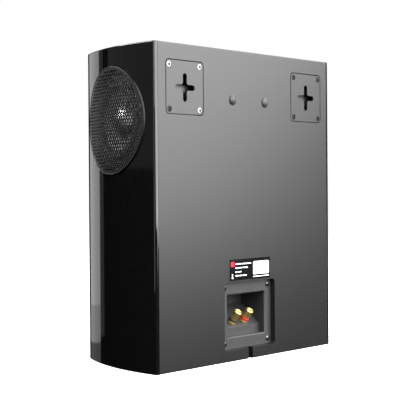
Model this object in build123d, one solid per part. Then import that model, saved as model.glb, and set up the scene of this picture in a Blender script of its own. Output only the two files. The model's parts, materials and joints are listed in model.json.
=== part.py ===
from build123d import *

import math
import os

# Bookshelf / on-wall surround speaker with a driver behind a round metal grille in each curved side.
# Millimetres. +Z is up, the cloth-covered front faces -Y, the connection side faces +Y.
# The origin is the bottom centre of the whole object.

# ---- cabinet ----
CABINET_WIDTH = 284.0          # across the back edges
CABINET_HEIGHT = 330.0
CABINET_DEPTH = 134.0          # back board to front baffle
FRONT_NARROWING = 30.0         # each side comes in by this much towards the front
SIDE_BULGE = 10.4              # how far the curved side stands out from its own chord
SIDE_THICKNESS = 18.0
SHELF_THICKNESS = 15.0         # top and bottom panels
BAFFLE_THICKNESS = 18.0
BACK_THICKNESS = 15.0
CORNER_ROUND = 2.5             # vertical edges
EDGE_ROUND = 1.2               # horizontal edges
BACK_LIP = 3.7                 # gloss strip left beside the back board
SEAM = 0.4                     # dark joint round the back board

# ---- front grille ----
GRILLE_WIDTH = 203.0
GRILLE_HEIGHT = 306.0
GRILLE_DEPTH = 12.0            # cloth face to baffle
GRILLE_GAP = 1.0               # frame stands off the baffle
CLOTH_THICKNESS = 0.6
GRILLE_BAR = 22.0
GRILLE_CORNER = 6.0
PEG_RADIUS = 3.0
PEG_LENGTH = 10.0
PEG_SPACING_X = 168.0
PEG_SPACING_Z = 282.0
SOCKET_RADIUS = 5.0
PEG_CLEARANCE = 0.1

# ---- side drivers and their grilles ----
SIDE_DRIVER_Z = 254.0
SIDE_GRILLE_RADIUS = 56.0
SIDE_GRILLE_PROUD = 1.5
SIDE_GRILLE_THICKNESS = 1.2
SIDE_GRILLE_SKIRT = 3.0
SIDE_STEP_RADIUS = 56.4        # shallow step that takes the grille's skirt
SIDE_STEP_DEPTH = 3.4
SIDE_RECESS_RADIUS = 51.5
SIDE_RECESS_DEPTH = 10.0       # flat seat, below the middle of the curved surface

# ---- front drivers ----
WOOFER_Z = 118.0
TWEETER_Z = 243.0
TWEETER_RADIUS = 49.0

# ---- wall plates ----
PLATE_SIZE = 53.6
PLATE_THICKNESS = 2.0
PLATE_CORNER = 3.6
PLATE_GAP = 0.7
PLATE_X = 99.4
PLATE_Z = 285.9
PLATE_POCKET = 40.0
PLATE_POCKET_DEPTH = 6.0
SLOT_LENGTH = 29.0
SLOT_WIDTH = 5.8
SLOT_FILLET = 2.6
PLATE_SCREW_SPACING = 44.6

# ---- plugged wall-bracket inserts ----
INSERT_SPACING = 53.0
INSERT_Z = 276.9
INSERT_BORE = 3.0
INSERT_RADIUS = 4.5
INSERT_LENGTH = 12.0
PLUG_RADIUS = 5.4
PLUG_PROUD = 3.0

# ---- label ----
LABEL_WIDTH = 66.6
LABEL_HEIGHT = 22.6
LABEL_Z = 96.8
LABEL_THICKNESS = 0.2

# ---- terminal cup and its pocket ----
POCKET_WIDTH = 83.0
POCKET_BOTTOM = 12.0
POCKET_TOP = 83.8
POCKET_CORNER = 4.0
FLANGE_FACE_DEPTH = 6.0        # flange face below the back
FLANGE_THICKNESS = 3.0
FLANGE_GAP = 0.25
CUP_WIDTH = 60.6
CUP_BOTTOM = 25.0
CUP_TOP = 69.8
CUP_DEPTH = 34.0
CUP_WALL = 2.8
CUP_MOUTH_ROUND = 1.6
CHANNEL_WIDTH = 7.3
TERMINAL_SCREW_INSET = 6.0
SLOPE_FRONT_DEPTH = 13.7       # front edge of the sloped terminal shelf, below the back
SLOPE_FRONT_Z = 33.7
POST_TILT = 50.0               # degrees above straight out
POST_ALONG_SLOPE = 7.4
POST_SPACING = 19.0

# ---- binding posts, along their own axis from the sloped shelf ----
POST_COLLAR_RADIUS = 4.5
POST_COLLAR_HEIGHT = 3.0
POST_STUD_RADIUS = 2.0
POST_STUD_TOP = 12.5
POST_STUD_BOTTOM = -13.0
RING_RADIUS = 4.6
RING_HEIGHT = 2.4
KNOB_RADIUS = 4.1
KNOB_CAP_RADIUS = 4.4
KNOB_TOP_RADIUS = 3.0         # flat on top of the cap
KNOB_NECK_RADIUS = 3.6        # groove between the cap and the fluted barrel
KNOB_HEIGHT = 11.0
KNOB_CAP_HEIGHT = 4.4
FLUTE_COUNT = 12
FLUTE_RADIUS = 0.45
FLUTE_LENGTH = 5.1             # open at the barrel's foot
THREAD_CLEARANCE = 0.05
REST_GAP = 0.05
NUT_RADIUS = 4.6
NUT_HEIGHT = 3.2
NUT_GAP = 0.1
TAB_RADIUS = 4.4
TAB_WIDTH = 4.8
TAB_LENGTH = 11.0
TAB_THICKNESS = 0.8

# ---- crossover ----
BOARD_WIDTH = 120.0
BOARD_HEIGHT = 84.0
BOARD_THICKNESS = 1.6
BOARD_Z = 150.0
STANDOFF_HEIGHT = 6.0
STANDOFF_RADIUS = 3.5
STANDOFF_INSET = 6.0
BOARD_HOLE_RADIUS = 1.8
INDUCTOR_RADIUS = 17.0
INDUCTOR_HOLE = 7.0
INDUCTOR_HEIGHT = 16.0
CAPACITOR_RADIUS = 7.4
CAPACITOR_LENGTH = 30.0
RESISTOR_LENGTH = 26.0
RESISTOR_SIDE = 9.0

# ---- fasteners ----
PANEL_SCREW_RADIUS = 1.7
PANEL_SCREW_HEAD = 3.1
PANEL_SCREW_LENGTH = 12.0
DRIVER_SCREW_RADIUS = 1.7
DRIVER_SCREW_HEAD = 3.2
DRIVER_SCREW_LENGTH = 9.0
PHILLIPS_DEPTH = 1.2
PILOT_CLEARANCE = 0.1

Y_BACK = (CABINET_DEPTH + GRILLE_DEPTH - PLUG_PROUD) / 2
Y_FRONT = Y_BACK - CABINET_DEPTH
HALF_WIDTH = CABINET_WIDTH / 2
HALF_FRONT = HALF_WIDTH - FRONT_NARROWING

CHORD = math.hypot(FRONT_NARROWING, CABINET_DEPTH)
CHORD_TILT = math.degrees(math.atan2(FRONT_NARROWING, CABINET_DEPTH))
SIDE_RADIUS = (CHORD ** 2 / 4 + SIDE_BULGE ** 2) / (2 * SIDE_BULGE)
SIDE_NORMAL = Vector(math.cos(math.radians(CHORD_TILT)), -math.sin(math.radians(CHORD_TILT)), 0)
SIDE_MIDDLE = Vector((HALF_WIDTH + HALF_FRONT) / 2, (Y_BACK + Y_FRONT) / 2, 0) + SIDE_NORMAL * SIDE_BULGE
ARC_CENTRE = SIDE_MIDDLE - SIDE_NORMAL * SIDE_RADIUS


# ---------------------------------------------------------------- small helpers
def mirrored(shape):
    """The same piece on the other side of the speaker."""
    return mirror(shape, about=Plane.YZ)


def block(x0, x1, y0, y1, z0, z1):
    """A box between two corners."""
    size = Box(x1 - x0, y1 - y0, z1 - z0)
    return Pos((x0 + x1) / 2, (y0 + y1) / 2, (z0 + z1) / 2) * size


def disc(radius, z0, z1):
    """A cylinder on the local Z axis from z0 to z1."""
    return Pos(0, 0, (z0 + z1) / 2) * Cylinder(radius, z1 - z0)


def ring(outer, inner, z0, z1):
    """A flat ring on the local Z axis."""
    return disc(outer, z0, z1) - disc(inner, z0 - 1, z1 + 1)


def lathe(points):
    """A turned piece from a closed outline of (radius, height) points."""
    outline = Polyline(*[(r, 0, z) for r, z in points], close=True)
    return revolve(make_face(outline), Axis.Z)


def dome_cap(edge, rise, foot, wall=None):
    """A spherical dome on the local Z axis: solid, or a shell where wall is given."""
    radius = (edge ** 2 + rise ** 2) / (2 * rise)
    centre = foot + rise - radius
    ball = Pos(0, 0, centre) * Sphere(radius)
    if wall:
        ball = ball - Pos(0, 0, centre) * Sphere(radius - wall)
    return ball & disc(edge + 1, foot, foot + rise + 1)


def rounded_plate(width, height, corner, thickness):
    """A rounded rectangle standing on the local XY plane."""
    return extrude(RectangleRounded(width, height, corner), thickness)


def back_plane(x, depth, z):
    """A working plane parallel to the back, depth below it, facing out."""
    return Plane(origin=(x, Y_BACK - depth, z), x_dir=(-1, 0, 0), z_dir=(0, 1, 0))


def front_plane(x, depth, z):
    """A working plane parallel to the baffle, depth below its face, facing out."""
    return Plane(origin=(x, Y_FRONT + depth, z), x_dir=(1, 0, 0), z_dir=(0, -1, 0))


def side_plane(depth):
    """A working plane at the middle of the +X side, depth below the curved surface."""
    centre = SIDE_MIDDLE - SIDE_NORMAL * depth
    across = Vector(-SIDE_NORMAL.Y, SIDE_NORMAL.X, 0)
    return Plane(origin=(centre.X, centre.Y, SIDE_DRIVER_Z), x_dir=across, z_dir=SIDE_NORMAL)


def rectangle_spots(spacing_x, spacing_y):
    """The four corners of a rectangle."""
    return [(sx * spacing_x / 2, sy * spacing_y / 2) for sx in (-1, 1) for sy in (-1, 1)]


def circle_spots(radius, count, start):
    """Evenly spaced points on a circle."""
    angles = [math.radians(start + 360 * i / count) for i in range(count)]
    return [(radius * math.cos(a), radius * math.sin(a)) for a in angles]


def cross_recess(width, depth, top):
    """The cross-shaped driver recess of a screw."""
    arm = Box(width, width * 0.28, depth)
    return Pos(0, 0, top - depth / 2) * (arm + Rot(0, 0, 90) * arm)


def countersunk_screw(top, radius=PANEL_SCREW_RADIUS, head=PANEL_SCREW_HEAD, length=PANEL_SCREW_LENGTH):
    """A flat-head wood screw whose head ends at top."""
    cone = head - radius
    body = lathe([(0, top), (head, top), (head, top - 0.4), (radius, top - 0.4 - cone),
                  (radius, top - length + 2), (0, top - length)])
    return body - cross_recess(head * 1.25, PHILLIPS_DEPTH, top + 0.01)


def countersink(top, depth, radius=PANEL_SCREW_RADIUS, head=PANEL_SCREW_HEAD):
    """The hole that a flat-head screw sits in, with a little room round it."""
    wide = head + PILOT_CLEARANCE
    narrow = radius + PILOT_CLEARANCE
    shoulder = top - 0.4 - PILOT_CLEARANCE
    return lathe([(0, top + 1), (wide, top + 1), (wide, shoulder), (narrow, shoulder - (wide - narrow)),
                  (narrow, top - depth), (0, top - depth)])


def pan_screw(seat, head, radius, length):
    """A low domed screw whose head rests on seat."""
    height = head * 0.55
    body = lathe([(0, seat + height), (head * 0.6, seat + height * 0.9), (head, seat + height * 0.3),
                  (head, seat), (radius, seat), (radius, seat - length + 2), (0, seat - length)])
    return body - cross_recess(head * 1.2, height * 0.7, seat + height + 0.01)


def group(pieces):
    """Several separate solids kept as one node."""
    return Compound(children=[s for p in pieces for s in p.solids()])


def save(shape, node):
    """Write one node's STEP file."""
    export_step(shape, f"parts/{node}.step")


# ---------------------------------------------------------------- cabinet
def side_arc_point(angle, radius):
    """A point on the +X side's arc, or on one parallel to it."""
    turn = math.radians(angle)
    return (ARC_CENTRE.X + radius * math.cos(turn), ARC_CENTRE.Y + radius * math.sin(turn))


def side_band(outer, inner, z0, z1):
    """A curved wall between two arcs that share the side's centre, longer than the cabinet is deep."""
    middle = -CHORD_TILT
    spread = 24.0
    first, last = middle - spread, middle + spread
    edges = [
        ThreePointArc(side_arc_point(first, outer), side_arc_point(middle, outer), side_arc_point(last, outer)),
        Line(side_arc_point(last, outer), side_arc_point(last, inner)),
        ThreePointArc(side_arc_point(last, inner), side_arc_point(middle, inner), side_arc_point(first, inner)),
        Line(side_arc_point(first, inner), side_arc_point(first, outer)),
    ]
    return Pos(0, 0, z0) * extrude(make_face(edges), z1 - z0)


def plan(offset, y0, y1, z0, z1):
    """The cabinet's plan shape drawn in from the curved sides by offset, between two depths."""
    centre_block = block(-HALF_WIDTH, HALF_WIDTH, y0, y1, z0, z1)
    keep_out = side_band(SIDE_RADIUS + 60, SIDE_RADIUS - offset, z0 - 1, z1 + 1)
    return centre_block - keep_out - mirrored(keep_out)


def side_panel():
    """The +X side: a bent panel with a rabbet for the back board and a seat for its driver."""
    band = side_band(SIDE_RADIUS, SIDE_RADIUS - SIDE_THICKNESS, 0, CABINET_HEIGHT)
    panel = band & block(0, CABINET_WIDTH, Y_FRONT, Y_BACK, -1, CABINET_HEIGHT + 1)
    panel = panel - back_board_room()
    back_corner = panel.edges().filter_by(Axis.Z).filter_by_position(Axis.X, HALF_WIDTH - 0.1, HALF_WIDTH + 0.1)
    front_corner = panel.edges().filter_by(Axis.Z).filter_by_position(Axis.X, HALF_FRONT - 0.1, HALF_FRONT + 0.1)
    panel = fillet(back_corner + front_corner, CORNER_ROUND)
    above_step = side_band(SIDE_RADIUS + 20, SIDE_RADIUS - SIDE_STEP_DEPTH, 0, CABINET_HEIGHT)
    panel = panel - (above_step & side_plane(0) * disc(SIDE_STEP_RADIUS, -20, 15))
    plane = side_plane(SIDE_RECESS_DEPTH)
    panel = panel - plane * disc(SIDE_RECESS_RADIUS, 0, SIDE_RECESS_DEPTH + 5)
    panel = panel - plane * disc(SIDE_DRIVER.opening + 3.2, -20, 1)
    for x, y in circle_spots(SIDE_DRIVER.screw_circle, 4, 45):
        panel = panel - plane * Pos(x, y, 0) * disc(SIDE_DRIVER.screw_radius + PILOT_CLEARANCE, -8, 1)
    return panel


def back_board_room():
    """The space of the back board and the seam round it."""
    half = HALF_WIDTH - BACK_LIP
    return block(-half, half, Y_BACK - BACK_THICKNESS, Y_BACK + 1, -1, CABINET_HEIGHT + 1)


def shelf(z0):
    """The top or bottom panel, between the sides, the baffle and the back board."""
    return plan(SIDE_THICKNESS, Y_FRONT + BAFFLE_THICKNESS, Y_BACK - BACK_THICKNESS, z0, z0 + SHELF_THICKNESS)


def back_panel():
    """The back board with the wall plates' recesses, the terminal pocket and the wire channel."""
    half = HALF_WIDTH - BACK_LIP - SEAM
    board = block(-half, half, Y_BACK - BACK_THICKNESS, Y_BACK, 0, CABINET_HEIGHT)
    outer = board.faces().sort_by(Axis.Y)[-1].edges().filter_by(Axis.X)
    board = fillet(outer, EDGE_ROUND)
    recess = PLATE_SIZE + 2 * PLATE_GAP
    for side in (-1, 1):
        seat = back_plane(side * PLATE_X, PLATE_THICKNESS, PLATE_Z)
        board = board - seat * rounded_plate(recess, recess, PLATE_CORNER + PLATE_GAP, PLATE_THICKNESS + 1)
        board = board - seat * Pos(0, 0, -PLATE_POCKET_DEPTH) * rounded_plate(
            PLATE_POCKET, PLATE_POCKET, PLATE_CORNER, PLATE_POCKET_DEPTH + 0.5)
        for x, y in rectangle_spots(PLATE_SCREW_SPACING, PLATE_SCREW_SPACING):
            board = board - seat * Pos(x, y, 0) * disc(PANEL_SCREW_RADIUS + PILOT_CLEARANCE, -11.5, 1)
        hole = back_plane(side * INSERT_SPACING / 2, 0, INSERT_Z)
        board = board - hole * disc(INSERT_RADIUS + PILOT_CLEARANCE, -INSERT_LENGTH - 1, 1)
    pocket_height = POCKET_TOP - POCKET_BOTTOM
    pocket_z = (POCKET_TOP + POCKET_BOTTOM) / 2
    pocket_floor = back_plane(0, FLANGE_FACE_DEPTH + FLANGE_THICKNESS, pocket_z)
    board = board - pocket_floor * rounded_plate(POCKET_WIDTH, pocket_height, POCKET_CORNER, 20)
    through = block(-CUP_WIDTH / 2 - CUP_WALL - 0.5, CUP_WIDTH / 2 + CUP_WALL + 0.5, Y_BACK - 20, Y_BACK,
                    CUP_BOTTOM - CUP_WALL - 0.5, CUP_TOP + CUP_WALL + 0.5)
    board = board - through
    for x, y in terminal_screw_spots():
        board = board - pocket_floor * Pos(x, y, 0) * disc(PANEL_SCREW_RADIUS + PILOT_CLEARANCE, -6, 1)
    channel = block(-CHANNEL_WIDTH / 2, CHANNEL_WIDTH / 2, Y_BACK - FLANGE_FACE_DEPTH, Y_BACK + 1,
                    -1, POCKET_BOTTOM + 5)
    return board - channel


def front_baffle():
    """The front board with its driver seats and the grille's socket holes."""
    board = plan(SIDE_THICKNESS, Y_FRONT, Y_FRONT + BAFFLE_THICKNESS, 0, CABINET_HEIGHT)
    outer = board.faces().sort_by(Axis.Y)[0].edges().filter_by(Axis.X)
    board = fillet(outer, EDGE_ROUND)
    for driver, z in ((WOOFER, WOOFER_Z), (TWEETER, TWEETER_Z)):
        seat = front_plane(0, 0, z)
        board = board - seat * disc(driver.flange + 0.4, -driver.flange_thickness, 1)
        board = board - seat * disc(driver.opening + 3.2, -30, 1)
        for x, y in circle_spots(driver.screw_circle, driver.screws, driver.screw_start):
            hole = disc(driver.screw_radius + PILOT_CLEARANCE, -15, 1)
            board = board - seat * Pos(x, y, 0) * hole
    for x, y in rectangle_spots(PEG_SPACING_X, PEG_SPACING_Z):
        seat = front_plane(x, 0, CABINET_HEIGHT / 2 + y)
        board = board - seat * disc(SOCKET_RADIUS + PEG_CLEARANCE, -PEG_LENGTH - 4, 1)
    return board


def side_grille():
    """The +X grille: a bent metal disc with a skirt that presses into the seat."""
    outer = SIDE_RADIUS + SIDE_GRILLE_PROUD
    z0 = SIDE_DRIVER_Z - SIDE_GRILLE_RADIUS - 5
    z1 = SIDE_DRIVER_Z + SIDE_GRILLE_RADIUS + 5
    face = side_band(outer, outer - SIDE_GRILLE_THICKNESS, z0, z1)
    skirt_band = side_band(outer - 0.5, SIDE_RADIUS - SIDE_GRILLE_SKIRT, z0, z1)
    plane = side_plane(0)
    round_face = face & plane * disc(SIDE_GRILLE_RADIUS, -20, 10)
    skirt = skirt_band & plane * ring(SIDE_GRILLE_RADIUS, SIDE_GRILLE_RADIUS - SIDE_GRILLE_THICKNESS, -20, 10)
    return round_face + skirt


# ---------------------------------------------------------------- drivers
class Driver:
    """Sizes of one cone driver. Local Z points out of the cabinet, 0 is the front of its flange."""

    def __init__(self, flange, flange_thickness, opening, cone, basket_depth, coil, magnet, magnet_height,
                 plate_height, screw_circle, screws, screw_start, screw_radius):
        self.flange = flange
        self.flange_thickness = flange_thickness
        self.opening = opening
        self.cone = cone
        self.basket_depth = basket_depth
        self.coil = coil
        self.magnet = magnet
        self.magnet_height = magnet_height
        self.plate_height = plate_height
        self.screw_circle = screw_circle
        self.screws = screws
        self.screw_start = screw_start
        self.screw_radius = screw_radius


WOOFER = Driver(flange=72.5, flange_thickness=3.5, opening=58.0, cone=48.0, basket_depth=32.0, coil=12.7,
                magnet=45.0, magnet_height=16.0, plate_height=6.0, screw_circle=67.0, screws=4,
                screw_start=45, screw_radius=DRIVER_SCREW_RADIUS)
SIDE_DRIVER = Driver(flange=50.5, flange_thickness=3.0, opening=40.5, cone=33.5, basket_depth=22.0, coil=9.7,
                     magnet=32.0, magnet_height=12.0, plate_height=5.0, screw_circle=46.8, screws=4,
                     screw_start=45, screw_radius=DRIVER_SCREW_RADIUS)
TWEETER = Driver(flange=TWEETER_RADIUS, flange_thickness=4.0, opening=33.5, cone=12.7, basket_depth=6.0,
                 coil=12.7, magnet=34.0, magnet_height=10.0, plate_height=4.0, screw_circle=43.5, screws=4,
                 screw_start=45, screw_radius=PANEL_SCREW_RADIUS)

WOOFER_CAP = (7.0, 7.0)        # dust cap: overlap outside the coil, rise
SIDE_CAP = (9.0, 7.5)
SURROUND_SEAT = 2.0            # surround lips sit this far below the flange face
SURROUND_THICKNESS = 0.7
CONE_THICKNESS = 0.8
DUST_CAP_WALL = 0.6
COIL_WALL = 0.3
COIL_WINDING = 0.5
POLE_CLEARANCE = 0.3
GAP_CLEARANCE = 0.4
BASKET_WALL = 2.2
SPIDER_RISE = 5.8              # centring disc above the basket's bottom ring
SPIDER_WAVE = 0.9
SPIDER_THICKNESS = 0.6
SPIDER_WAVES = 6


def basket(d):
    """A pressed basket: flange, open cone-shaped frame and a bottom ring on the magnet's top plate."""
    step = d.opening + 3
    wall_top = d.opening + BASKET_WALL
    bottom = d.magnet - 6
    floor = -d.basket_depth
    hole = d.coil + 6
    shell = lathe([
        (d.opening, -SURROUND_SEAT), (step, -SURROUND_SEAT), (step, 0), (d.flange, 0),
        (d.flange, -d.flange_thickness), (wall_top, -d.flange_thickness), (bottom, floor), (hole, floor),
        (hole, floor + BASKET_WALL), (bottom - BASKET_WALL, floor + BASKET_WALL),
        (d.opening, -d.flange_thickness),
    ])
    window_height = d.basket_depth - d.flange_thickness - 8
    middle = -d.flange_thickness - 3 - window_height / 2
    for x, y in circle_spots((d.opening + bottom) / 2, 6, 30):
        angle = math.degrees(math.atan2(y, x))
        window = Box(30, d.opening * 0.62, window_height)
        shell = shell - Pos(x, y, middle) * Rot(0, 0, angle) * window
    for x, y in circle_spots(d.screw_circle, d.screws, d.screw_start):
        shell = shell - Pos(x, y, 0) * disc(d.screw_radius + PILOT_CLEARANCE, -10, 1)
    return shell


def surround(d):
    """The half-roll rubber edge between the basket and the cone."""
    base = -SURROUND_SEAT
    top = base + SURROUND_THICKNESS
    outer = d.opening + 2.8
    inner = d.cone - 2.5
    middle = (d.opening + d.cone) / 2
    roll = (d.opening - d.cone) / 2
    inside = roll - SURROUND_THICKNESS

    def arc(radius, height, sign):
        ends = [(middle + sign * radius, 0, height), (middle - sign * radius, 0, height)]
        return ThreePointArc(ends[0], (middle, 0, height + radius), ends[1])

    edges = [
        Line((outer, 0, base), (outer, 0, top)),
        Line((outer, 0, top), (middle + roll, 0, top)),
        arc(roll, top, 1),
        Line((middle - roll, 0, top), (inner, 0, top)),
        Line((inner, 0, top), (inner, 0, base)),
        Line((inner, 0, base), (middle - inside, 0, base)),
        arc(inside, base, -1),
        Line((middle + inside, 0, base), (outer, 0, base)),
    ]
    return revolve(make_face(edges), Axis.Z)


def cone_neck(d):
    """Height of the cone's neck."""
    return -SURROUND_SEAT - d.basket_depth * 0.5


def cone(d):
    """The cone, from its rim under the surround to its neck round the voice coil former."""
    rim = -SURROUND_SEAT
    neck = cone_neck(d)
    hole = d.coil + COIL_WALL + COIL_WALL
    thin = CONE_THICKNESS
    return lathe([
        (d.cone, rim), (d.cone - 3, rim), (hole, neck + thin), (hole, neck - 1.5), (hole + thin, neck - 1.5),
        (hole + thin, neck - 0.3), (d.cone - 2.4, rim - thin), (d.cone, rim - thin),
    ])


def dust_cap(d, overlap, rise):
    """The domed cap glued to the cone, wider than the coil by overlap."""
    edge = d.coil + overlap
    slope = (edge - d.coil) / (d.cone - 3 - d.coil)
    neck_top = cone_neck(d) + CONE_THICKNESS
    foot = neck_top + slope * (-SURROUND_SEAT - neck_top) + CONE_THICKNESS
    return dome_cap(edge, rise, foot, DUST_CAP_WALL)


def voice_coil(d):
    """The former tube with its copper winding in the magnet gap."""
    top = cone_neck(d) - 0.2
    gap_middle = -d.basket_depth - d.plate_height / 2
    half = d.plate_height / 2 + 3
    former = ring(d.coil + COIL_WALL, d.coil, gap_middle - half, top)
    winding = ring(d.coil + COIL_WALL + COIL_WINDING, d.coil + 0.01, gap_middle - half, gap_middle + half)
    return former + winding


def spider(d):
    """The corrugated centring disc, standing on the basket's bottom ring."""
    floor = -d.basket_depth + BASKET_WALL
    outer = d.magnet - 6 - BASKET_WALL - 1.0
    inner = d.coil + COIL_WALL + 0.05
    level = floor + SPIDER_RISE
    thickness = SPIDER_THICKNESS
    foot = outer - 2
    step = (foot - inner - 2) / SPIDER_WAVES
    crest = [(inner + 2 + i * step, level + (SPIDER_WAVE if i % 2 else 0)) for i in range(SPIDER_WAVES + 1)]
    top = [(inner, level)] + crest
    bottom = [(r, z - thickness) for r, z in reversed(top)]
    return lathe(top + [(outer, level), (outer, floor), (foot + 1, floor), (foot + 1, level - thickness)] + bottom)


def top_plate(d):
    """The steel ring on top of the magnet."""
    z1 = -d.basket_depth
    return ring(d.magnet - 2, d.coil + COIL_WALL + COIL_WINDING + GAP_CLEARANCE, z1 - d.plate_height, z1)


def magnet_ring(d):
    """The ferrite ring."""
    z1 = -d.basket_depth - d.plate_height
    return ring(d.magnet, d.coil + 8, z1 - d.magnet_height, z1)


def yoke(d):
    """The steel back plate with its centre pole."""
    plate_top = -d.basket_depth - d.plate_height - d.magnet_height
    pole = d.coil - POLE_CLEARANCE
    return lathe([
        (3, plate_top - d.plate_height), (d.magnet - 2, plate_top - d.plate_height), (d.magnet - 2, plate_top),
        (pole, plate_top), (pole, -d.basket_depth), (3, -d.basket_depth),
    ])


def driver_screws(d, plane):
    """The screws that hold a cone driver's flange."""
    screw = pan_screw(0, DRIVER_SCREW_HEAD, d.screw_radius, DRIVER_SCREW_LENGTH)
    return [plane * Pos(x, y, 0) * screw for x, y in circle_spots(d.screw_circle, d.screws, d.screw_start)]


def save_moving(d, plane, name, cap, other_side=False):
    """The cone, dust cap and voice coil of one driver, and its surround."""
    pieces = {
        "surround": surround(d),
        "cone": cone(d),
        "dust_cap": dust_cap(d, *cap),
        "voice_coil": voice_coil(d),
    }
    for part_name, piece in pieces.items():
        placed = plane * piece
        save(mirrored(placed) if other_side else placed, f"{name}_{part_name}")


# ---------------------------------------------------------------- tweeter
DOME_RISE = 6.0
DOME_SEAT = -3.0               # dome edge below the faceplate's front
DOME_WALL = 0.5


def tweeter_faceplate():
    """The moulded faceplate with a shallow flare round the dome."""
    d = TWEETER
    plate = lathe([
        (d.cone + 4.2, DOME_SEAT), (d.cone + 16, 0), (d.flange, 0), (d.flange, -d.flange_thickness),
        (d.cone + 4.2, -d.flange_thickness),
    ])
    for x, y in circle_spots(d.screw_circle, d.screws, d.screw_start):
        plate = plate - Pos(x, y, 0) * countersink(0, 10, d.screw_radius)
    return plate


def tweeter_dome():
    """The silk dome with its coil former, one moving piece."""
    r = TWEETER.coil
    bottom = -TWEETER.basket_depth - TWEETER.plate_height - 0.5
    return dome_cap(r, DOME_RISE, DOME_SEAT, DOME_WALL) + ring(r, r - DOME_WALL, bottom, DOME_SEAT + 0.3)


def tweeter_surround():
    """The dome's small half-roll edge, glued to the faceplate's inner lip."""
    r = TWEETER.coil
    inner, outer = r + 0.05, r + 4.0
    middle = (inner + outer) / 2
    roll = (outer - inner) / 2
    base = DOME_SEAT - 0.6
    edges = [
        ThreePointArc((outer, 0, base), (middle, 0, base + roll), (inner, 0, base)),
        Line((inner, 0, base), (inner + 0.4, 0, base)),
        ThreePointArc((inner + 0.4, 0, base), (middle, 0, base + roll - 0.4), (outer - 0.4, 0, base)),
        Line((outer - 0.4, 0, base), (outer, 0, base)),
    ]
    return revolve(make_face(edges), Axis.Z)


def tweeter_top_plate():
    """The steel plate under the faceplate."""
    d = TWEETER
    return ring(d.magnet - 1, d.coil + GAP_CLEARANCE, -d.flange_thickness - 4, -d.flange_thickness - 0.05)


def tweeter_magnet():
    """The ferrite ring of the tweeter."""
    d = TWEETER
    return ring(d.magnet - 1, d.coil + 6, -d.flange_thickness - 14, -d.flange_thickness - 4)


def tweeter_yoke():
    """The back plate and pole of the tweeter."""
    d = TWEETER
    low = -d.flange_thickness - 14
    pole = d.coil - DOME_WALL - POLE_CLEARANCE
    return lathe([(2, low - 4), (d.magnet - 2, low - 4), (d.magnet - 2, low), (pole, low),
                  (pole, -d.flange_thickness - 1), (2, -d.flange_thickness - 1)])


# ---------------------------------------------------------------- front grille
def grille_frame():
    """The moulded grille frame with its four pegs."""
    thickness = GRILLE_DEPTH - GRILLE_GAP - CLOTH_THICKNESS
    width = GRILLE_WIDTH - 2 * CLOTH_THICKNESS
    height = GRILLE_HEIGHT - 2 * CLOTH_THICKNESS
    plane = front_plane(0, -GRILLE_GAP, CABINET_HEIGHT / 2)
    frame = rounded_plate(width, height, GRILLE_CORNER, thickness)
    top_edges = frame.faces().sort_by(Axis.Z)[-1].edges()
    frame = fillet(top_edges, 3.0)
    window = RectangleRounded(width - 2 * GRILLE_BAR, height - 2 * GRILLE_BAR, 10)
    frame = frame - Pos(0, 0, -1) * extrude(window, thickness + 2)
    for x, y in rectangle_spots(PEG_SPACING_X, PEG_SPACING_Z):
        frame = frame + Pos(x, y, 0) * disc(PEG_RADIUS, -PEG_LENGTH - GRILLE_GAP, 0.5)
    return plane * frame


def grille_cloth():
    """The acoustic cloth pulled over the frame's face and edges."""
    thickness = GRILLE_DEPTH - GRILLE_GAP
    plane = front_plane(0, -GRILLE_GAP, CABINET_HEIGHT / 2)
    outer = rounded_plate(GRILLE_WIDTH, GRILLE_HEIGHT, GRILLE_CORNER + CLOTH_THICKNESS, thickness)
    outer = fillet(outer.faces().sort_by(Axis.Z)[-1].edges(), 3.0 + CLOTH_THICKNESS)
    inner = rounded_plate(GRILLE_WIDTH - 2 * CLOTH_THICKNESS, GRILLE_HEIGHT - 2 * CLOTH_THICKNESS, GRILLE_CORNER,
                          thickness - CLOTH_THICKNESS)
    inner = fillet(inner.faces().sort_by(Axis.Z)[-1].edges(), 3.0)
    return plane * (outer - inner)


def grille_sockets():
    """The four rubber cups that hold the grille's pegs."""
    cup = lathe([
        (0, -PEG_LENGTH - 3), (SOCKET_RADIUS, -PEG_LENGTH - 3), (SOCKET_RADIUS, 0), (SOCKET_RADIUS + 1.5, 0),
        (SOCKET_RADIUS + 1.5, 0.8), (PEG_RADIUS + PEG_CLEARANCE, 0.8), (PEG_RADIUS + PEG_CLEARANCE, -PEG_LENGTH - 1),
        (0, -PEG_LENGTH - 1),
    ])
    spots = rectangle_spots(PEG_SPACING_X, PEG_SPACING_Z)
    return group([front_plane(x, 0, CABINET_HEIGHT / 2 + y) * cup for x, y in spots])


# ---------------------------------------------------------------- wall plates, inserts, label
def cross_slot(length, width, corner):
    """A cross of two round-ended slots with rounded inner corners."""
    arms = SlotOverall(length, width) + Rot(0, 0, 90) * SlotOverall(length, width)
    inner = [v for v in arms.vertices() if abs(abs(v.X) - width / 2) < 0.01 and abs(abs(v.Y) - width / 2) < 0.01]
    return fillet(inner, corner)


def wall_plate():
    """A flush steel wall plate with its cross-shaped keyhole and countersunk corner holes."""
    plate = rounded_plate(PLATE_SIZE, PLATE_SIZE, PLATE_CORNER, PLATE_THICKNESS)
    plate = plate - Pos(0, 0, -1) * extrude(cross_slot(SLOT_LENGTH, SLOT_WIDTH, SLOT_FILLET), PLATE_THICKNESS + 2)
    for x, y in rectangle_spots(PLATE_SCREW_SPACING, PLATE_SCREW_SPACING):
        plate = plate - Pos(x, y, 0) * countersink(PLATE_THICKNESS, 6)
    return back_plane(PLATE_X, PLATE_THICKNESS, PLATE_Z) * plate


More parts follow.
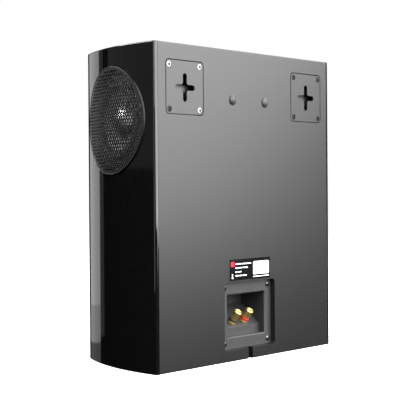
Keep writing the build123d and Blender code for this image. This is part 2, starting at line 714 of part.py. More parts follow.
def flat_head_screws():
    """The twelve equal flat-head screws: eight in the wall plates, four in the tweeter's faceplate."""
    screw = countersunk_screw(-REST_GAP)
    seats = [back_plane(side * PLATE_X, 0, PLATE_Z) * Pos(x, y, 0) for side in (-1, 1)
             for x, y in rectangle_spots(PLATE_SCREW_SPACING, PLATE_SCREW_SPACING)]
    face = front_plane(0, 0, TWEETER_Z)
    seats += [face * Pos(x, y, 0) for x, y in circle_spots(TWEETER.screw_circle, TWEETER.screws, 45)]
    return group([seat * screw for seat in seats])


def threaded_inserts():
    """Two brass inserts for a wall bracket's bolts."""
    insert = ring(INSERT_RADIUS, INSERT_BORE, -INSERT_LENGTH, 0)
    return group([back_plane(s * INSERT_SPACING / 2, 0, INSERT_Z) * insert for s in (-1, 1)])


def insert_plugs():
    """Two soft domed plugs that close the inserts."""
    rim = 0.6
    head = disc(PLUG_RADIUS, 0, rim) + dome_cap(PLUG_RADIUS, PLUG_PROUD - rim, rim)
    plug = head + disc(INSERT_BORE - THREAD_CLEARANCE, -8, 0)
    return group([back_plane(s * INSERT_SPACING / 2, 0, INSERT_Z) * plug for s in (-1, 1)])


def rating_label():
    """The thin printed label above the terminals."""
    return back_plane(0, 0, LABEL_Z) * rounded_plate(LABEL_WIDTH, LABEL_HEIGHT, 1.0, LABEL_THICKNESS)


# ---------------------------------------------------------------- terminals
def terminal_screw_spots():
    """Screw places on the flange, in the pocket's own plane."""
    width = POCKET_WIDTH - 2 * TERMINAL_SCREW_INSET
    height = POCKET_TOP - POCKET_BOTTOM - 2 * TERMINAL_SCREW_INSET
    return rectangle_spots(width, height)


def cup_outline(grow):
    """The cup's section through its depth, grown by a wall thickness, as (depth, height) points."""
    slope = math.radians(90 - POST_TILT)
    back = FLANGE_FACE_DEPTH + CUP_DEPTH
    mouth = FLANGE_FACE_DEPTH - (2 if grow == 0 else -0.5)
    normal_shift = grow / math.cos(slope)
    corner = grow * (1 / math.cos(slope) - math.tan(slope))
    slope_back_z = SLOPE_FRONT_Z + (back + grow - SLOPE_FRONT_DEPTH) * math.tan(slope) - normal_shift
    return [
        (mouth, CUP_BOTTOM - grow), (SLOPE_FRONT_DEPTH + grow, CUP_BOTTOM - grow),
        (SLOPE_FRONT_DEPTH + grow, SLOPE_FRONT_Z - corner), (back + grow, slope_back_z),
        (back + grow, CUP_TOP + grow), (mouth, CUP_TOP + grow),
    ]


def cup_body(grow):
    """The cup's section run across its width."""
    half = CUP_WIDTH / 2 + grow
    points = [(-half, Y_BACK - depth, z) for depth, z in cup_outline(grow)]
    return extrude(make_face(Polyline(*points, close=True)), 2 * half, dir=(1, 0, 0))


def post_plane(side):
    """A binding post's own plane on the sloped shelf."""
    slope = math.radians(90 - POST_TILT)
    depth = SLOPE_FRONT_DEPTH + POST_ALONG_SLOPE * math.cos(slope)
    z = SLOPE_FRONT_Z + POST_ALONG_SLOPE * math.sin(slope)
    tilt = math.radians(POST_TILT)
    axis = (0, math.cos(tilt), math.sin(tilt))
    return Plane(origin=(side * POST_SPACING / 2, Y_BACK - depth, z), x_dir=(1, 0, 0), z_dir=axis)


def terminal_cup():
    """The moulded cup: flange, hollow with a sloped shelf, and holes for the posts."""
    height = POCKET_TOP - POCKET_BOTTOM - 2 * FLANGE_GAP
    middle = (POCKET_TOP + POCKET_BOTTOM) / 2
    seat = back_plane(0, FLANGE_FACE_DEPTH + FLANGE_THICKNESS, middle)
    flange = seat * rounded_plate(POCKET_WIDTH - 2 * FLANGE_GAP, height, POCKET_CORNER - FLANGE_GAP, FLANGE_THICKNESS)
    cup = flange + cup_body(CUP_WALL)
    cup = cup - cup_body(0)
    face = Y_BACK - FLANGE_FACE_DEPTH
    mouth = [e for e in cup.edges() if abs(e.center().Y - face) < 0.01 and e.geom_type == GeomType.LINE
             and abs(e.center().X) < CUP_WIDTH / 2 + 0.01 and CUP_BOTTOM - 0.01 < e.center().Z < CUP_TOP + 0.01]
    cup = fillet(mouth, CUP_MOUTH_ROUND)
    for side in (-1, 1):
        cup = cup - post_plane(side) * disc(POST_STUD_RADIUS + THREAD_CLEARANCE, -10, 5)
    for x, y in terminal_screw_spots():
        cup = cup - seat * Pos(x, y, 0) * disc(PANEL_SCREW_RADIUS + PILOT_CLEARANCE, -6, 6)
    return cup


def terminal_screws():
    """Four domed screws in the flange's corners."""
    seat = back_plane(0, FLANGE_FACE_DEPTH, (POCKET_TOP + POCKET_BOTTOM) / 2)
    screw = pan_screw(0, PANEL_SCREW_HEAD, PANEL_SCREW_RADIUS, 8)
    return group([seat * Pos(x, y, 0) * screw for x, y in terminal_screw_spots()])


def post_stud(side):
    """The threaded stud with the collar it stands on."""
    stud = disc(POST_STUD_RADIUS, POST_STUD_BOTTOM, POST_STUD_TOP) + disc(POST_COLLAR_RADIUS, 0, POST_COLLAR_HEIGHT)
    return post_plane(side) * stud


def post_ring(side):
    """The coloured clamping ring, which slides on the stud without turning."""
    low = POST_COLLAR_HEIGHT + REST_GAP
    return post_plane(side) * ring(RING_RADIUS, POST_STUD_RADIUS + THREAD_CLEARANCE, low, low + RING_HEIGHT)


def post_knob(side):
    """The fluted knob that screws along the stud."""
    low = POST_COLLAR_HEIGHT + RING_HEIGHT + 2 * REST_GAP
    top = low + KNOB_HEIGHT
    shoulder = top - KNOB_CAP_HEIGHT
    neck = KNOB_NECK_RADIUS
    knob = lathe([
        (0, top), (KNOB_TOP_RADIUS, top), (KNOB_CAP_RADIUS - 0.5, top - 0.5), (KNOB_CAP_RADIUS, top - 1.3),
        (KNOB_CAP_RADIUS, shoulder + 0.8), (KNOB_CAP_RADIUS - 0.6, shoulder), (neck, shoulder - 0.3),
        (neck, shoulder - 0.9), (KNOB_RADIUS, shoulder - 1.4), (KNOB_RADIUS, low), (0, low),
    ])
    knob = knob - disc(POST_STUD_RADIUS + THREAD_CLEARANCE, low - 1, POST_STUD_TOP + 0.6)
    flute = disc(FLUTE_RADIUS, low - 1, low + FLUTE_LENGTH)
    for x, y in circle_spots(KNOB_RADIUS + FLUTE_RADIUS / 2, FLUTE_COUNT, 0):
        knob = knob - Pos(x, y, 0) * flute
    return post_plane(side) * knob


def post_nuts():
    """The hexagon nuts inside the cabinet, tight against the cup's shelf."""
    hexagon = extrude(RegularPolygon(radius=NUT_RADIUS, side_count=6), NUT_HEIGHT)
    nut = hexagon - disc(POST_STUD_RADIUS + THREAD_CLEARANCE, -1, NUT_HEIGHT + 1)
    return group([post_plane(side) * Pos(0, 0, -CUP_WALL - NUT_GAP - NUT_HEIGHT) * nut for side in (-1, 1)])


def solder_tabs():
    """The tinned tabs under the nuts, where the inner wires are soldered."""
    low = -CUP_WALL - NUT_HEIGHT - 2 * NUT_GAP - TAB_THICKNESS
    eye = Pos(0, 0, low) * extrude(Circle(TAB_RADIUS), TAB_THICKNESS)
    blade = extrude(Rectangle(TAB_WIDTH, TAB_LENGTH), TAB_THICKNESS)
    tab = eye + Pos(0, -2 - TAB_LENGTH / 2, low) * blade
    tab = tab - disc(POST_STUD_RADIUS + THREAD_CLEARANCE, low - 1, low + 2)
    return group([post_plane(side) * tab for side in (-1, 1)])


# ---------------------------------------------------------------- crossover
def board_plane():
    """The component side of the crossover board, facing into the cabinet."""
    y = Y_BACK - BACK_THICKNESS - STANDOFF_HEIGHT
    return Plane(origin=(0, y, BOARD_Z), x_dir=(1, 0, 0), z_dir=(0, -1, 0))


def crossover_board():
    """The crossover's circuit board."""
    board = extrude(RectangleRounded(BOARD_WIDTH, BOARD_HEIGHT, 2), BOARD_THICKNESS)
    spots = rectangle_spots(BOARD_WIDTH - 2 * STANDOFF_INSET, BOARD_HEIGHT - 2 * STANDOFF_INSET)
    for x, y in spots:
        board = board - Pos(x, y, 0) * disc(BOARD_HOLE_RADIUS, -1, BOARD_THICKNESS + 1)
    return board_plane() * board


def crossover_standoffs():
    """Four hexagonal spacers between the board and the back board."""
    spacer = extrude(RegularPolygon(radius=STANDOFF_RADIUS, side_count=6), -STANDOFF_HEIGHT)
    spots = rectangle_spots(BOARD_WIDTH - 2 * STANDOFF_INSET, BOARD_HEIGHT - 2 * STANDOFF_INSET)
    return group([board_plane() * Pos(x, y, 0) * spacer for x, y in spots])


def crossover_inductors():
    """Two air-core coils."""
    coil = ring(INDUCTOR_RADIUS, INDUCTOR_HOLE, BOARD_THICKNESS, BOARD_THICKNESS + INDUCTOR_HEIGHT)
    return group([board_plane() * Pos(x, 14, 0) * coil for x in (-36, 36)])


def crossover_capacitors():
    """Two film capacitors lying on the board."""
    can = Rot(90, 0, 0) * Cylinder(CAPACITOR_RADIUS, CAPACITOR_LENGTH)
    can = Pos(0, 0, BOARD_THICKNESS + CAPACITOR_RADIUS + 0.1) * can
    return group([board_plane() * Pos(x, 12, 0) * can for x in (-8.5, 8.5)])


def crossover_resistors():
    """Three wire-wound power resistors."""
    body = Pos(0, 0, BOARD_THICKNESS + RESISTOR_SIDE / 2) * Box(RESISTOR_LENGTH, RESISTOR_SIDE, RESISTOR_SIDE)
    return group([board_plane() * Pos(x, -28, 0) * body for x in (-32, 0, 32)])


# ---------------------------------------------------------------- assembly
def main():
    """Write every node."""
    os.makedirs("parts", exist_ok=True)
    right_panel = side_panel()
    save(right_panel, "side_panel_right")
    save(mirrored(right_panel), "side_panel_left")
    save(shelf(0), "bottom_panel")
    save(shelf(CABINET_HEIGHT - SHELF_THICKNESS), "top_panel")
    save(back_panel(), "back_panel")
    save(front_baffle(), "front_baffle")

    right_grille = side_grille()
    save(right_grille, "side_grille_right")
    save(mirrored(right_grille), "side_grille_left")

    side_face = side_plane(SIDE_RECESS_DEPTH - SIDE_DRIVER.flange_thickness)
    save_moving(SIDE_DRIVER, side_face, "side_driver_right", SIDE_CAP)
    save_moving(SIDE_DRIVER, side_face, "side_driver_left", SIDE_CAP, other_side=True)
    fixed = {"baskets": basket, "top_plates": top_plate, "magnets": magnet_ring, "yokes": yoke}
    for name, maker in fixed.items():
        piece = side_face * maker(SIDE_DRIVER)
        save(group([piece, mirrored(piece)]), f"side_driver_{name}")

    woofer_face = front_plane(0, 0, WOOFER_Z)
    save_moving(WOOFER, woofer_face, "woofer", WOOFER_CAP)
    save(woofer_face * spider(WOOFER), "woofer_spider")
    fixed = {"basket": basket, "top_plate": top_plate, "magnet": magnet_ring, "yoke": yoke}
    for name, maker in fixed.items():
        save(woofer_face * maker(WOOFER), f"woofer_{name}")
    side_screws = driver_screws(SIDE_DRIVER, side_face)
    woofer_screws = driver_screws(WOOFER, woofer_face)
    save(group(woofer_screws + side_screws + [mirrored(s) for s in side_screws]), "driver_screws")

    tweeter_face = front_plane(0, 0, TWEETER_Z)
    save(tweeter_face * tweeter_faceplate(), "tweeter_faceplate")
    save(tweeter_face * tweeter_dome(), "tweeter_dome")
    save(tweeter_face * tweeter_surround(), "tweeter_surround")
    save(tweeter_face * tweeter_top_plate(), "tweeter_top_plate")
    save(tweeter_face * tweeter_magnet(), "tweeter_magnet")
    save(tweeter_face * tweeter_yoke(), "tweeter_yoke")

    save(grille_frame(), "grille_frame")
    save(grille_cloth(), "grille_cloth")
    save(grille_sockets(), "grille_sockets")

    right_plate = wall_plate()
    save(right_plate, "wall_plate_right")
    save(mirrored(right_plate), "wall_plate_left")
    save(flat_head_screws(), "flat_head_screws")
    save(threaded_inserts(), "threaded_inserts")
    save(insert_plugs(), "insert_plugs")
    save(rating_label(), "rating_label")

    save(terminal_cup(), "terminal_cup")
    save(terminal_screws(), "terminal_screws")
    for colour, side in (("red", -1), ("black", 1)):
        save(post_stud(side), f"post_stud_{colour}")
        save(post_ring(side), f"post_ring_{colour}")
        save(post_knob(side), f"post_knob_{colour}")
    save(post_nuts(), "post_nuts")
    save(solder_tabs(), "solder_tabs")

    save(crossover_board(), "crossover_board")
    save(crossover_standoffs(), "crossover_standoffs")
    save(crossover_inductors(), "crossover_inductors")
    save(crossover_capacitors(), "crossover_capacitors")
    save(crossover_resistors(), "crossover_resistors")


if __name__ == "__main__":
    main()
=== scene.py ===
"""A surround-type bookshelf speaker, dressed for its portrait from behind.

Everything is in metres in the speaker's own frame: +Z is up, the cloth front faces -Y and the connection
side faces +Y.
"""

import json
import logging
import math
from collections.abc import Callable, Iterable, Sequence
from dataclasses import dataclass
from enum import Enum

import bmesh
import bpy
from mathutils import Matrix, Vector


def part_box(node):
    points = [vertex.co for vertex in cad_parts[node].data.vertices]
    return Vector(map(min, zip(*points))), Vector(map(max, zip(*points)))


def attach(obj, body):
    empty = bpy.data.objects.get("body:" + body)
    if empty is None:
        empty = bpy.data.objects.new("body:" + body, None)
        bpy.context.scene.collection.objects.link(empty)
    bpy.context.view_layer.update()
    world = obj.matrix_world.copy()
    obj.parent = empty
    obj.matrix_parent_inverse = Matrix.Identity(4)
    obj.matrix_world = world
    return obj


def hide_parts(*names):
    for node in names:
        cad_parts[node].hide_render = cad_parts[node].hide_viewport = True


MM = 0.001
SMOOTH_BELOW = math.radians(38)
RNG_SEED = 7
AXIS_MERGE = 1e-6
WOOFER_Z = 118 * MM
SIDE_BASKET_FLANGE = 3.0 * MM
log = logging.getLogger("speaker")
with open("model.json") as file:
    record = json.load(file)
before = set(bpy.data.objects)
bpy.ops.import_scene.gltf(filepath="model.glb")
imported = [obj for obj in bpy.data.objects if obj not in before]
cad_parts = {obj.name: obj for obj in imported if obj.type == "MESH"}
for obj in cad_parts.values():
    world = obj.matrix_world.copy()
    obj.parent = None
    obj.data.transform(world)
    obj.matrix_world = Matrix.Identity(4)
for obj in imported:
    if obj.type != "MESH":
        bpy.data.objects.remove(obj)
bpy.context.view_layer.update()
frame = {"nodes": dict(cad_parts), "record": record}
SLOT_OF = {part["node"]: part["material_slot"] for part in frame["record"]["subparts"]}

Point = tuple[float, float]
Profile = Sequence[Point]


# ------------------------------------------------------------------ colours, nodes and finishes
def linear(code: str) -> tuple[float, float, float, float]:
    """Turn an sRGB hex colour into Blender's linear colour.

    Args:
        code: A colour such as "#1A1B1C".

    Returns:
        Red, green, blue and alpha.
    """
    channels = [int(code[i:i + 2], 16) / 255 for i in (1, 3, 5)]
    red, green, blue = (c / 12.92 if c <= 0.04045 else ((c + 0.055) / 1.055) ** 2.4 for c in channels)
    return red, green, blue, 1.0


def add_node(tree: bpy.types.NodeTree, kind: str, settings: dict | None = None,
             links: dict | None = None) -> bpy.types.Node:
    """Add one node with its settings and its incoming links.

    Args:
        tree: The node tree to add to.
        kind: The node's type name.
        settings: Values for the node's own properties (lower-case names) or for its input sockets.
        links: Output sockets to connect, by the name or number of the input socket.

    Returns:
        The new node.
    """
    node = tree.nodes.new(kind)
    for key, value in (settings or {}).items():
        if isinstance(key, str) and key.islower():
            setattr(node, key, value)
        else:
            node.inputs[key].default_value = value
    for key, source in (links or {}).items():
        tree.links.new(source, node.inputs[key])
    return node


class Grain(Enum):
    """How a finish's fine pattern is laid out."""

    MOTTLED = "soft uneven patches of a sprayed, moulded or plated surface"
    SPECKLED = "tight grains of powder coat, ferrite or unglazed ceramic"
    WOVEN = "two crossing sets of threads"
    DRAWN = "fine lines left by turning, rolling or drawing"
    WOUND = "wire laid turn beside turn"
    FIBROUS = "pressed pulp with lumps and hairs"


@dataclass(frozen=True)
class Finish:
    """One real finish: its two tones, its gloss and its pattern at a real size."""

    name: str
    colour: str
    tint: str
    roughness: Point
    grain: Grain
    grain_mm: float
    relief_mm: float
    metallic: float = 0.0
    ior: float = 1.5
    coat: float = 0.0
    coat_roughness: float = 0.03
    sheen: float = 0.0

    def pattern(self, tree: bpy.types.NodeTree) -> bpy.types.NodeSocket:
        """Build the finish's pattern on Object coordinates.

        Args:
            tree: The material's node tree.

        Returns:
            A socket that runs from 0 to 1.
        """
        place = add_node(tree, "ShaderNodeTexCoord").outputs["Object"]
        scale = 1.0 / (self.grain_mm * MM)
        if self.grain is Grain.WOVEN:
            weave = {"Scale": scale / 2, "Distortion": 0.4, "Detail": 1.0, "Detail Scale": 2.0}
            threads = [add_node(tree, "ShaderNodeTexWave", {"bands_direction": axis, **weave},
                                {"Vector": place}) for axis in ("X", "Z")]
            return add_node(tree, "ShaderNodeMath", {"operation": "MAXIMUM"},
                            {0: threads[0].outputs["Fac"], 1: threads[1].outputs["Fac"]}).outputs[0]
        if self.grain is Grain.WOUND:
            return add_node(tree, "ShaderNodeTexWave", {"bands_direction": "Y", "Scale": scale / 2,
                                                        "Distortion": 0.2}, {"Vector": place}).outputs["Fac"]
        if self.grain is Grain.SPECKLED:
            cells = add_node(tree, "ShaderNodeTexVoronoi", {"Scale": scale}, {"Vector": place})
            return add_node(tree, "ShaderNodeMath", {"operation": "MULTIPLY", 1: 1.4, "use_clamp": True},
                            {0: cells.outputs["Distance"]}).outputs[0]
        if self.grain is Grain.DRAWN:
            place = add_node(tree, "ShaderNodeMapping", {"Scale": (0.06, 0.06, 1.0)},
                             {"Vector": place}).outputs["Vector"]
        lumpy = self.grain is Grain.FIBROUS
        noise = add_node(tree, "ShaderNodeTexNoise", {"Scale": scale, "Detail": 6.0 if lumpy else 3.0,
                                                      "Distortion": 1.6 if lumpy else 0.0}, {"Vector": place})
        return add_node(tree, "ShaderNodeMapRange", {"From Min": 0.3, "From Max": 0.7},
                        {"Value": noise.outputs["Fac"]}).outputs["Result"]

    def material(self) -> bpy.types.Material:
        """Return the finish's material, built on first use."""
        found = bpy.data.materials.get(self.name)
        if found:
            return found
        made = bpy.data.materials.new(self.name)
        made.use_nodes = True
        tree = made.node_tree
        shader = tree.nodes["Principled BSDF"]
        shader.inputs["Metallic"].default_value = self.metallic
        if self.metallic < 0.5:
            shader.inputs["IOR"].default_value = self.ior
        shader.inputs["Coat Weight"].default_value = self.coat
        shader.inputs["Coat Roughness"].default_value = self.coat_roughness
        shader.inputs["Sheen Weight"].default_value = self.sheen
        pattern = self.pattern(tree)
        tones = {"data_type": "RGBA", 6: linear(self.colour), 7: linear(self.tint)}
        tone = add_node(tree, "ShaderNodeMix", tones, {0: pattern})
        smoothest, roughest = self.roughness
        gloss = add_node(tree, "ShaderNodeMapRange", {"To Min": smoothest, "To Max": roughest},
                         {"Value": pattern})
        relief = add_node(tree, "ShaderNodeBump", {"Strength": 1.0, "Distance": self.relief_mm * MM},
                          {"Height": pattern})
        tree.links.new(tone.outputs[2], shader.inputs["Base Color"])
        tree.links.new(gloss.outputs["Result"], shader.inputs["Roughness"])
        tree.links.new(relief.outputs["Normal"], shader.inputs["Normal"])
        return made


FINISHES: dict[str, Finish] = {
    # polished polyester lacquer: mirror-like, with the faintest orange peel
    "gloss_lacquered_board": Finish("polished_black_lacquer", "#0A0A0B", "#0D0D0E", (0.035, 0.06),
                                    Grain.MOTTLED, 7.0, 0.0012, ior=1.52),
    # satin polyurethane paint on board and on the wall plates: a broad soft sheen with a fine spray texture
    "satin_painted_board": Finish("satin_black_paint", "#0F0F10", "#121213", (0.32, 0.36), Grain.MOTTLED,
                                  0.9, 0.006),
    # powder-coated pressed steel: near-black with a tight grain
    "black_steel": Finish("black_powder_coat", "#070708", "#0C0C0D", (0.30, 0.40), Grain.SPECKLED, 0.5, 0.006,
                          ior=1.4),
    # zinc plate on screws: mid grey, clean and a little uneven
    "plated_screws": Finish("bright_zinc_plate", "#8B8D90", "#7E8084", (0.24, 0.36), Grain.MOTTLED,
                            0.6, 0.002, metallic=1.0),
    # turned soft iron: fine tool lines, slightly dull
    "bare_steel": Finish("turned_soft_iron", "#8E9093", "#7C7E82", (0.3, 0.42), Grain.DRAWN, 0.4, 0.004,
                         metallic=1.0),
    # sintered ferrite: charcoal, matt and gritty
    "ferrite": Finish("sintered_ferrite", "#1E1F21", "#2A2B2D", (0.6, 0.75), Grain.SPECKLED, 0.8, 0.02),
    # moulded nitrile rubber: black with a soft grey bloom
    "black_rubber": Finish("moulded_black_rubber", "#161617", "#1D1D1E", (0.42, 0.55), Grain.MOTTLED,
                           1.2, 0.004, sheen=0.15),
    # pressed and coated paper pulp: pale grey with visible fibre
    "cone_paper": Finish("coated_pulp_paper", "#9FA1A4", "#B4B6B9", (0.5, 0.66), Grain.FIBROUS, 1.6, 0.03),
    # resin-dipped cotton: warm yellow-brown weave
    "spider_cloth": Finish("resin_dipped_cotton", "#B08A4E", "#8F6C38", (0.55, 0.7), Grain.WOVEN, 0.7, 0.05,
                           sheen=0.1),
    # doped silk: tight black weave with a slight shine
    "silk": Finish("doped_silk", "#17171A", "#26262A", (0.38, 0.5), Grain.WOVEN, 0.35, 0.02, sheen=0.2),
    # anodised spun aluminium: bright silver with faint spinning lines
    "cap_aluminium": Finish("anodised_aluminium", "#E4E6E8", "#D4D6D9", (0.3, 0.38), Grain.DRAWN, 0.5, 0.002,
                            metallic=1.0),
    # enamelled copper wire: turns lie side by side under amber varnish
    "coil_copper": Finish("enamelled_copper_wire", "#B5652D", "#7C3F18", (0.25, 0.4), Grain.WOUND, 0.5, 0.08,
                          metallic=0.8, coat=0.5, coat_roughness=0.15),
    # moulded ABS: black with a fine spark-eroded texture
    "black_abs": Finish("textured_black_abs", "#202021", "#272728", (0.42, 0.52), Grain.SPECKLED, 0.45, 0.008,
                        ior=1.53),
    # knitted polyester grille cloth: open black threads, drawn at 0.9 mm so that they show
    "acoustic_cloth": Finish("black_acoustic_cloth", "#0C0C0D", "#2A2A2C", (0.75, 0.9), Grain.WOVEN,
                             0.9, 0.12, sheen=0.3),
    # gold flash over brass: warm, bright and slightly brushed
    "gold_plated_brass": Finish("gold_plated_brass", "#E6B455", "#D09A3E", (0.14, 0.26), Grain.MOTTLED,
                                0.7, 0.002, metallic=1.0),
    # tin plate: grey-white and soft
    "tinned_brass": Finish("tinned_brass", "#C4C3BC", "#AFAEA8", (0.3, 0.4), Grain.MOTTLED, 1.0, 0.003,
                           metallic=1.0),
    # dyed nylon clamping rings: solid colour, smooth from the mould
    "red_plastic": Finish("red_nylon", "#C8141E", "#B01018", (0.3, 0.4), Grain.MOTTLED, 1.0, 0.002),
    "black_plastic": Finish("black_nylon", "#161617", "#1B1B1C", (0.3, 0.4), Grain.MOTTLED, 1.0, 0.002),
    # printed polyester film: flat black ink under a thin glossy laminate
    "label_film": Finish("black_label_film", "#0B0B0C", "#0E0E0F", (0.10, 0.14), Grain.MOTTLED, 2.0, 0.001),
    # solder-masked glass epoxy: green with the weave just showing
    "circuit_board": Finish("green_solder_mask", "#1F5B33", "#174A28", (0.28, 0.38), Grain.WOVEN, 1.1, 0.01),
    # natural nylon spacers: milky and waxy
    "spacer_nylon": Finish("natural_nylon", "#E4E1D6", "#D8D4C8", (0.38, 0.5), Grain.MOTTLED, 1.5, 0.003),
    # taped film capacitor: yellow tape with soft creases
    "film_capacitor": Finish("yellow_capacitor_tape", "#D8A21E", "#C08C14", (0.35, 0.48), Grain.DRAWN,
                             2.5, 0.02),
    # cement resistor body: white, chalky and pitted
    "resistor_ceramic": Finish("white_cement", "#D9D7D0", "#C4C1B8", (0.75, 0.88), Grain.SPECKLED, 0.9, 0.03),
}
# screen-printed inks on the label, laid on the film as thin raised films
WHITE_INK = Finish("white_screen_ink", "#F4F4F2", "#EDEDEA", (0.7, 0.8), Grain.MOTTLED, 1.0, 0.001)
RED_INK = Finish("red_screen_ink", "#C20C2A", "#B80A26", (0.75, 0.85), Grain.MOTTLED, 1.0, 0.001)
# painted shade on flat heads: the same screws where they fall in shade, given a dark metal with a low shine
# in place of their zinc plate
SHADED_SCREW_FINISH = Finish("black_phosphate", "#1C1D1E", "#232425", (0.25, 0.4), Grain.MOTTLED, 0.6, 0.003,
                         metallic=1.0)
# domed heads in the cup's flange: nickel that only flashes where it faces a light
DULL_NICKEL = Finish("dull_nickel", "#5A5C60", "#4C4E52", (0.22, 0.34), Grain.MOTTLED, 0.6, 0.003,
                     metallic=1.0)
# butyl rubber edge of the side drivers: mid grey, soft sheen
GREY_BUTYL = Finish("grey_butyl_rubber", "#6C6E72", "#787A7E", (0.45, 0.6), Grain.MOTTLED, 1.2, 0.004,
                    sheen=0.1)
# stamped side driver frames: pale zinc that shows through the grille's holes
STAMPED_ZINC = Finish("stamped_zinc_frame", "#9B9DA1", "#8C8E92", (0.4, 0.52), Grain.MOTTLED, 1.0, 0.004,
                      metallic=1.0)
# painted shade in a screw's cross recess: a near-black, dull floor, so that the recess reads deep
RECESS_SHADOW = Finish("oily_recess", "#060606", "#090909", (0.7, 0.85), Grain.MOTTLED, 0.4, 0.002)
# nodes whose finish differs from the rest of their slot
SPECIAL: dict[str, Finish] = {
    "side_driver_right_surround": GREY_BUTYL,
    "side_driver_left_surround": GREY_BUTYL,
    "side_driver_baskets": STAMPED_ZINC,
}


# ------------------------------------------------------------------ mesh making
@dataclass(frozen=True)
class Seat:
    """A place on the speaker: an origin with an across and an outward direction."""

    origin: Vector
    across: Vector
    out: Vector

    @property
    def matrix(self) -> Matrix:
        """The seat as a matrix whose local Z points outwards.

        Returns:
            The matrix.
        """
        up = self.out.cross(self.across)
        rotation = Matrix((self.across, up, self.out)).transposed()
        return Matrix.Translation(self.origin) @ rotation.to_4x4()


def back_seat(x: float, y: float, z: float) -> Matrix:
    """A seat that faces out of the back, with its local X towards -X."""
    return Seat(Vector((x, y, z)), Vector((-1, 0, 0)), Vector((0, 1, 0))).matrix


def front_seat(y: float, z: float) -> Matrix:
    """A seat on the speaker's middle line that faces out of the front."""
    return Seat(Vector((0, y, z)), Vector((1, 0, 0)), Vector((0, -1, 0))).matrix


def link(name: str, data: bpy.types.ID) -> bpy.types.Object:
    """Put a mesh, light or camera into the scene as an object at the origin."""
    made = bpy.data.objects.new(name, data)
    bpy.context.scene.collection.objects.link(made)
    return made


def merge(build: bmesh.types.BMesh, other: bmesh.types.BMesh) -> None:
    """Add a second built mesh to the first and free the second.

    Args:
        build: The mesh that grows.
        other: The mesh to add, which is freed.
    """
    spare = bpy.data.meshes.new("spare")
    other.to_mesh(spare)
    other.free()
    build.from_mesh(spare)
    bpy.data.meshes.remove(spare)


def piece_from(name: str, build: bmesh.types.BMesh, matrix: Matrix | None = None) -> bpy.types.Object:
    """Turn a built mesh into a linked object at the origin, merged and facing outwards.

    Args:
        name: The piece's name.
        build: The mesh, which is freed.
        matrix: Where its local frame stands.

    Returns:
        The new object.
    """
    bmesh.ops.remove_doubles(build, verts=build.verts, dist=1e-7)
    bmesh.ops.recalc_face_normals(build, faces=build.faces)
    mesh = bpy.data.meshes.new(name)
    build.to_mesh(mesh)
    build.free()
    if matrix is not None:
        mesh.transform(matrix)
        if matrix.determinant() < 0:
            mesh.flip_normals()
    return link(name, mesh)


def lathe(profile: Profile, segments: int = 96, closed: bool = True,
          shape: Callable[[float, float, float], float] | None = None) -> bmesh.types.BMesh:
    """Turn an outline of (radius, height) points round the local Z axis.

    Args:
        profile: The outline. Points on the axis have radius 0.
        segments: Steps round the axis.
        closed: Whether the last point joins the first.
        shape: Optional change of radius from (radius, height, angle), as for knurls.

    Returns:
        The turned mesh.
    """
    build = bmesh.new()
    rings = []
    for radius, height in profile:
        ring = []
        for step in range(segments if radius > 0 else 1):
            angle = math.tau * step / segments
            at = shape(radius, height, angle) if shape else radius
            ring.append(build.verts.new((at * math.cos(angle), at * math.sin(angle), height)))
        rings.append(ring)
    pairs = list(zip(rings, rings[1:]))
    if closed:
        pairs.append((rings[-1], rings[0]))
    for low, high in pairs:
        if len(low) == 1 and len(high) == 1:
            continue
        for step in range(segments):
            after = (step + 1) % segments
            corners = [low[step % len(low)], low[after % len(low)],
                       high[after % len(high)], high[step % len(high)]]
            build.faces.new(list(dict.fromkeys(corners)))
    return build


def arc(centre: Point, radius: float, start: float, end: float, steps: int) -> list[Point]:
    """Points on a circular arc.

    Args:
        centre: The arc's centre.
        radius: Its radius.
        start: First angle, in degrees.
        end: Last angle, in degrees.
        steps: Spans along the arc.

    Returns:
        steps + 1 points.
    """
    angles = [math.radians(start + (end - start) * i / steps) for i in range(steps + 1)]
    return [(centre[0] + radius * math.cos(a), centre[1] + radius * math.sin(a)) for a in angles]


def dome(edge: float, rise: float, foot: float, steps: int, wall: float = 0.0) -> list[Point]:
    """The outline of a round cap, from its edge to the axis.

    Args:
        edge: Radius of the cap's edge.
        rise: Height of its top above its edge.
        foot: Height of its edge.
        steps: Spans from edge to top.
        wall: Thickness. With one, the outline comes back along the inner face.

    Returns:
        The outline's (radius, height) points.
    """
    ball = (edge ** 2 + rise ** 2) / (2 * rise)
    centre = (0, foot + rise - ball)
    reach = math.degrees(math.asin(edge / ball))
    outline = arc(centre, ball, 90 - reach, 90, steps)
    if wall:
        outline += arc(centre, ball - wall, 90, 90 - reach, steps)
    return [(radius if radius > AXIS_MERGE else 0.0, height) for radius, height in outline]


def rounded_rectangle(width: float, height: float, corner: float, steps: int = 6) -> list[Point]:
    """The outline of a rectangle with round corners, anticlockwise.

    Args:
        width: Its size along X.
        height: Its size along Y.
        corner: Radius of its corners.
        steps: Spans round each corner.

    Returns:
        The outline's points.
    """
    x, y = width / 2 - corner, height / 2 - corner
    outline: list[Point] = []
    for sx, sy, start in ((1, 1, 0), (-1, 1, 90), (-1, -1, 180), (1, -1, 270)):
        outline += arc((sx * x, sy * y), corner, start, start + 90, steps)
    return outline


def prism(outline: Profile, low: float, high: float) -> bmesh.types.BMesh:
    """A flat outline extruded along the local Z axis.

    Args:
        outline: The outline, anticlockwise.
        low: Height of its lower face.
        high: Height of its upper face.

    Returns:
        The closed prism.
    """
    build = bmesh.new()
    floor = [build.verts.new((x, y, low)) for x, y in outline]
    roof = [build.verts.new((x, y, high)) for x, y in outline]
    build.faces.new(list(reversed(floor)))
    build.faces.new(roof)
    for i, vertex in enumerate(floor):
        after = (i + 1) % len(floor)
        build.faces.new((vertex, floor[after], roof[after], roof[i]))
    return build


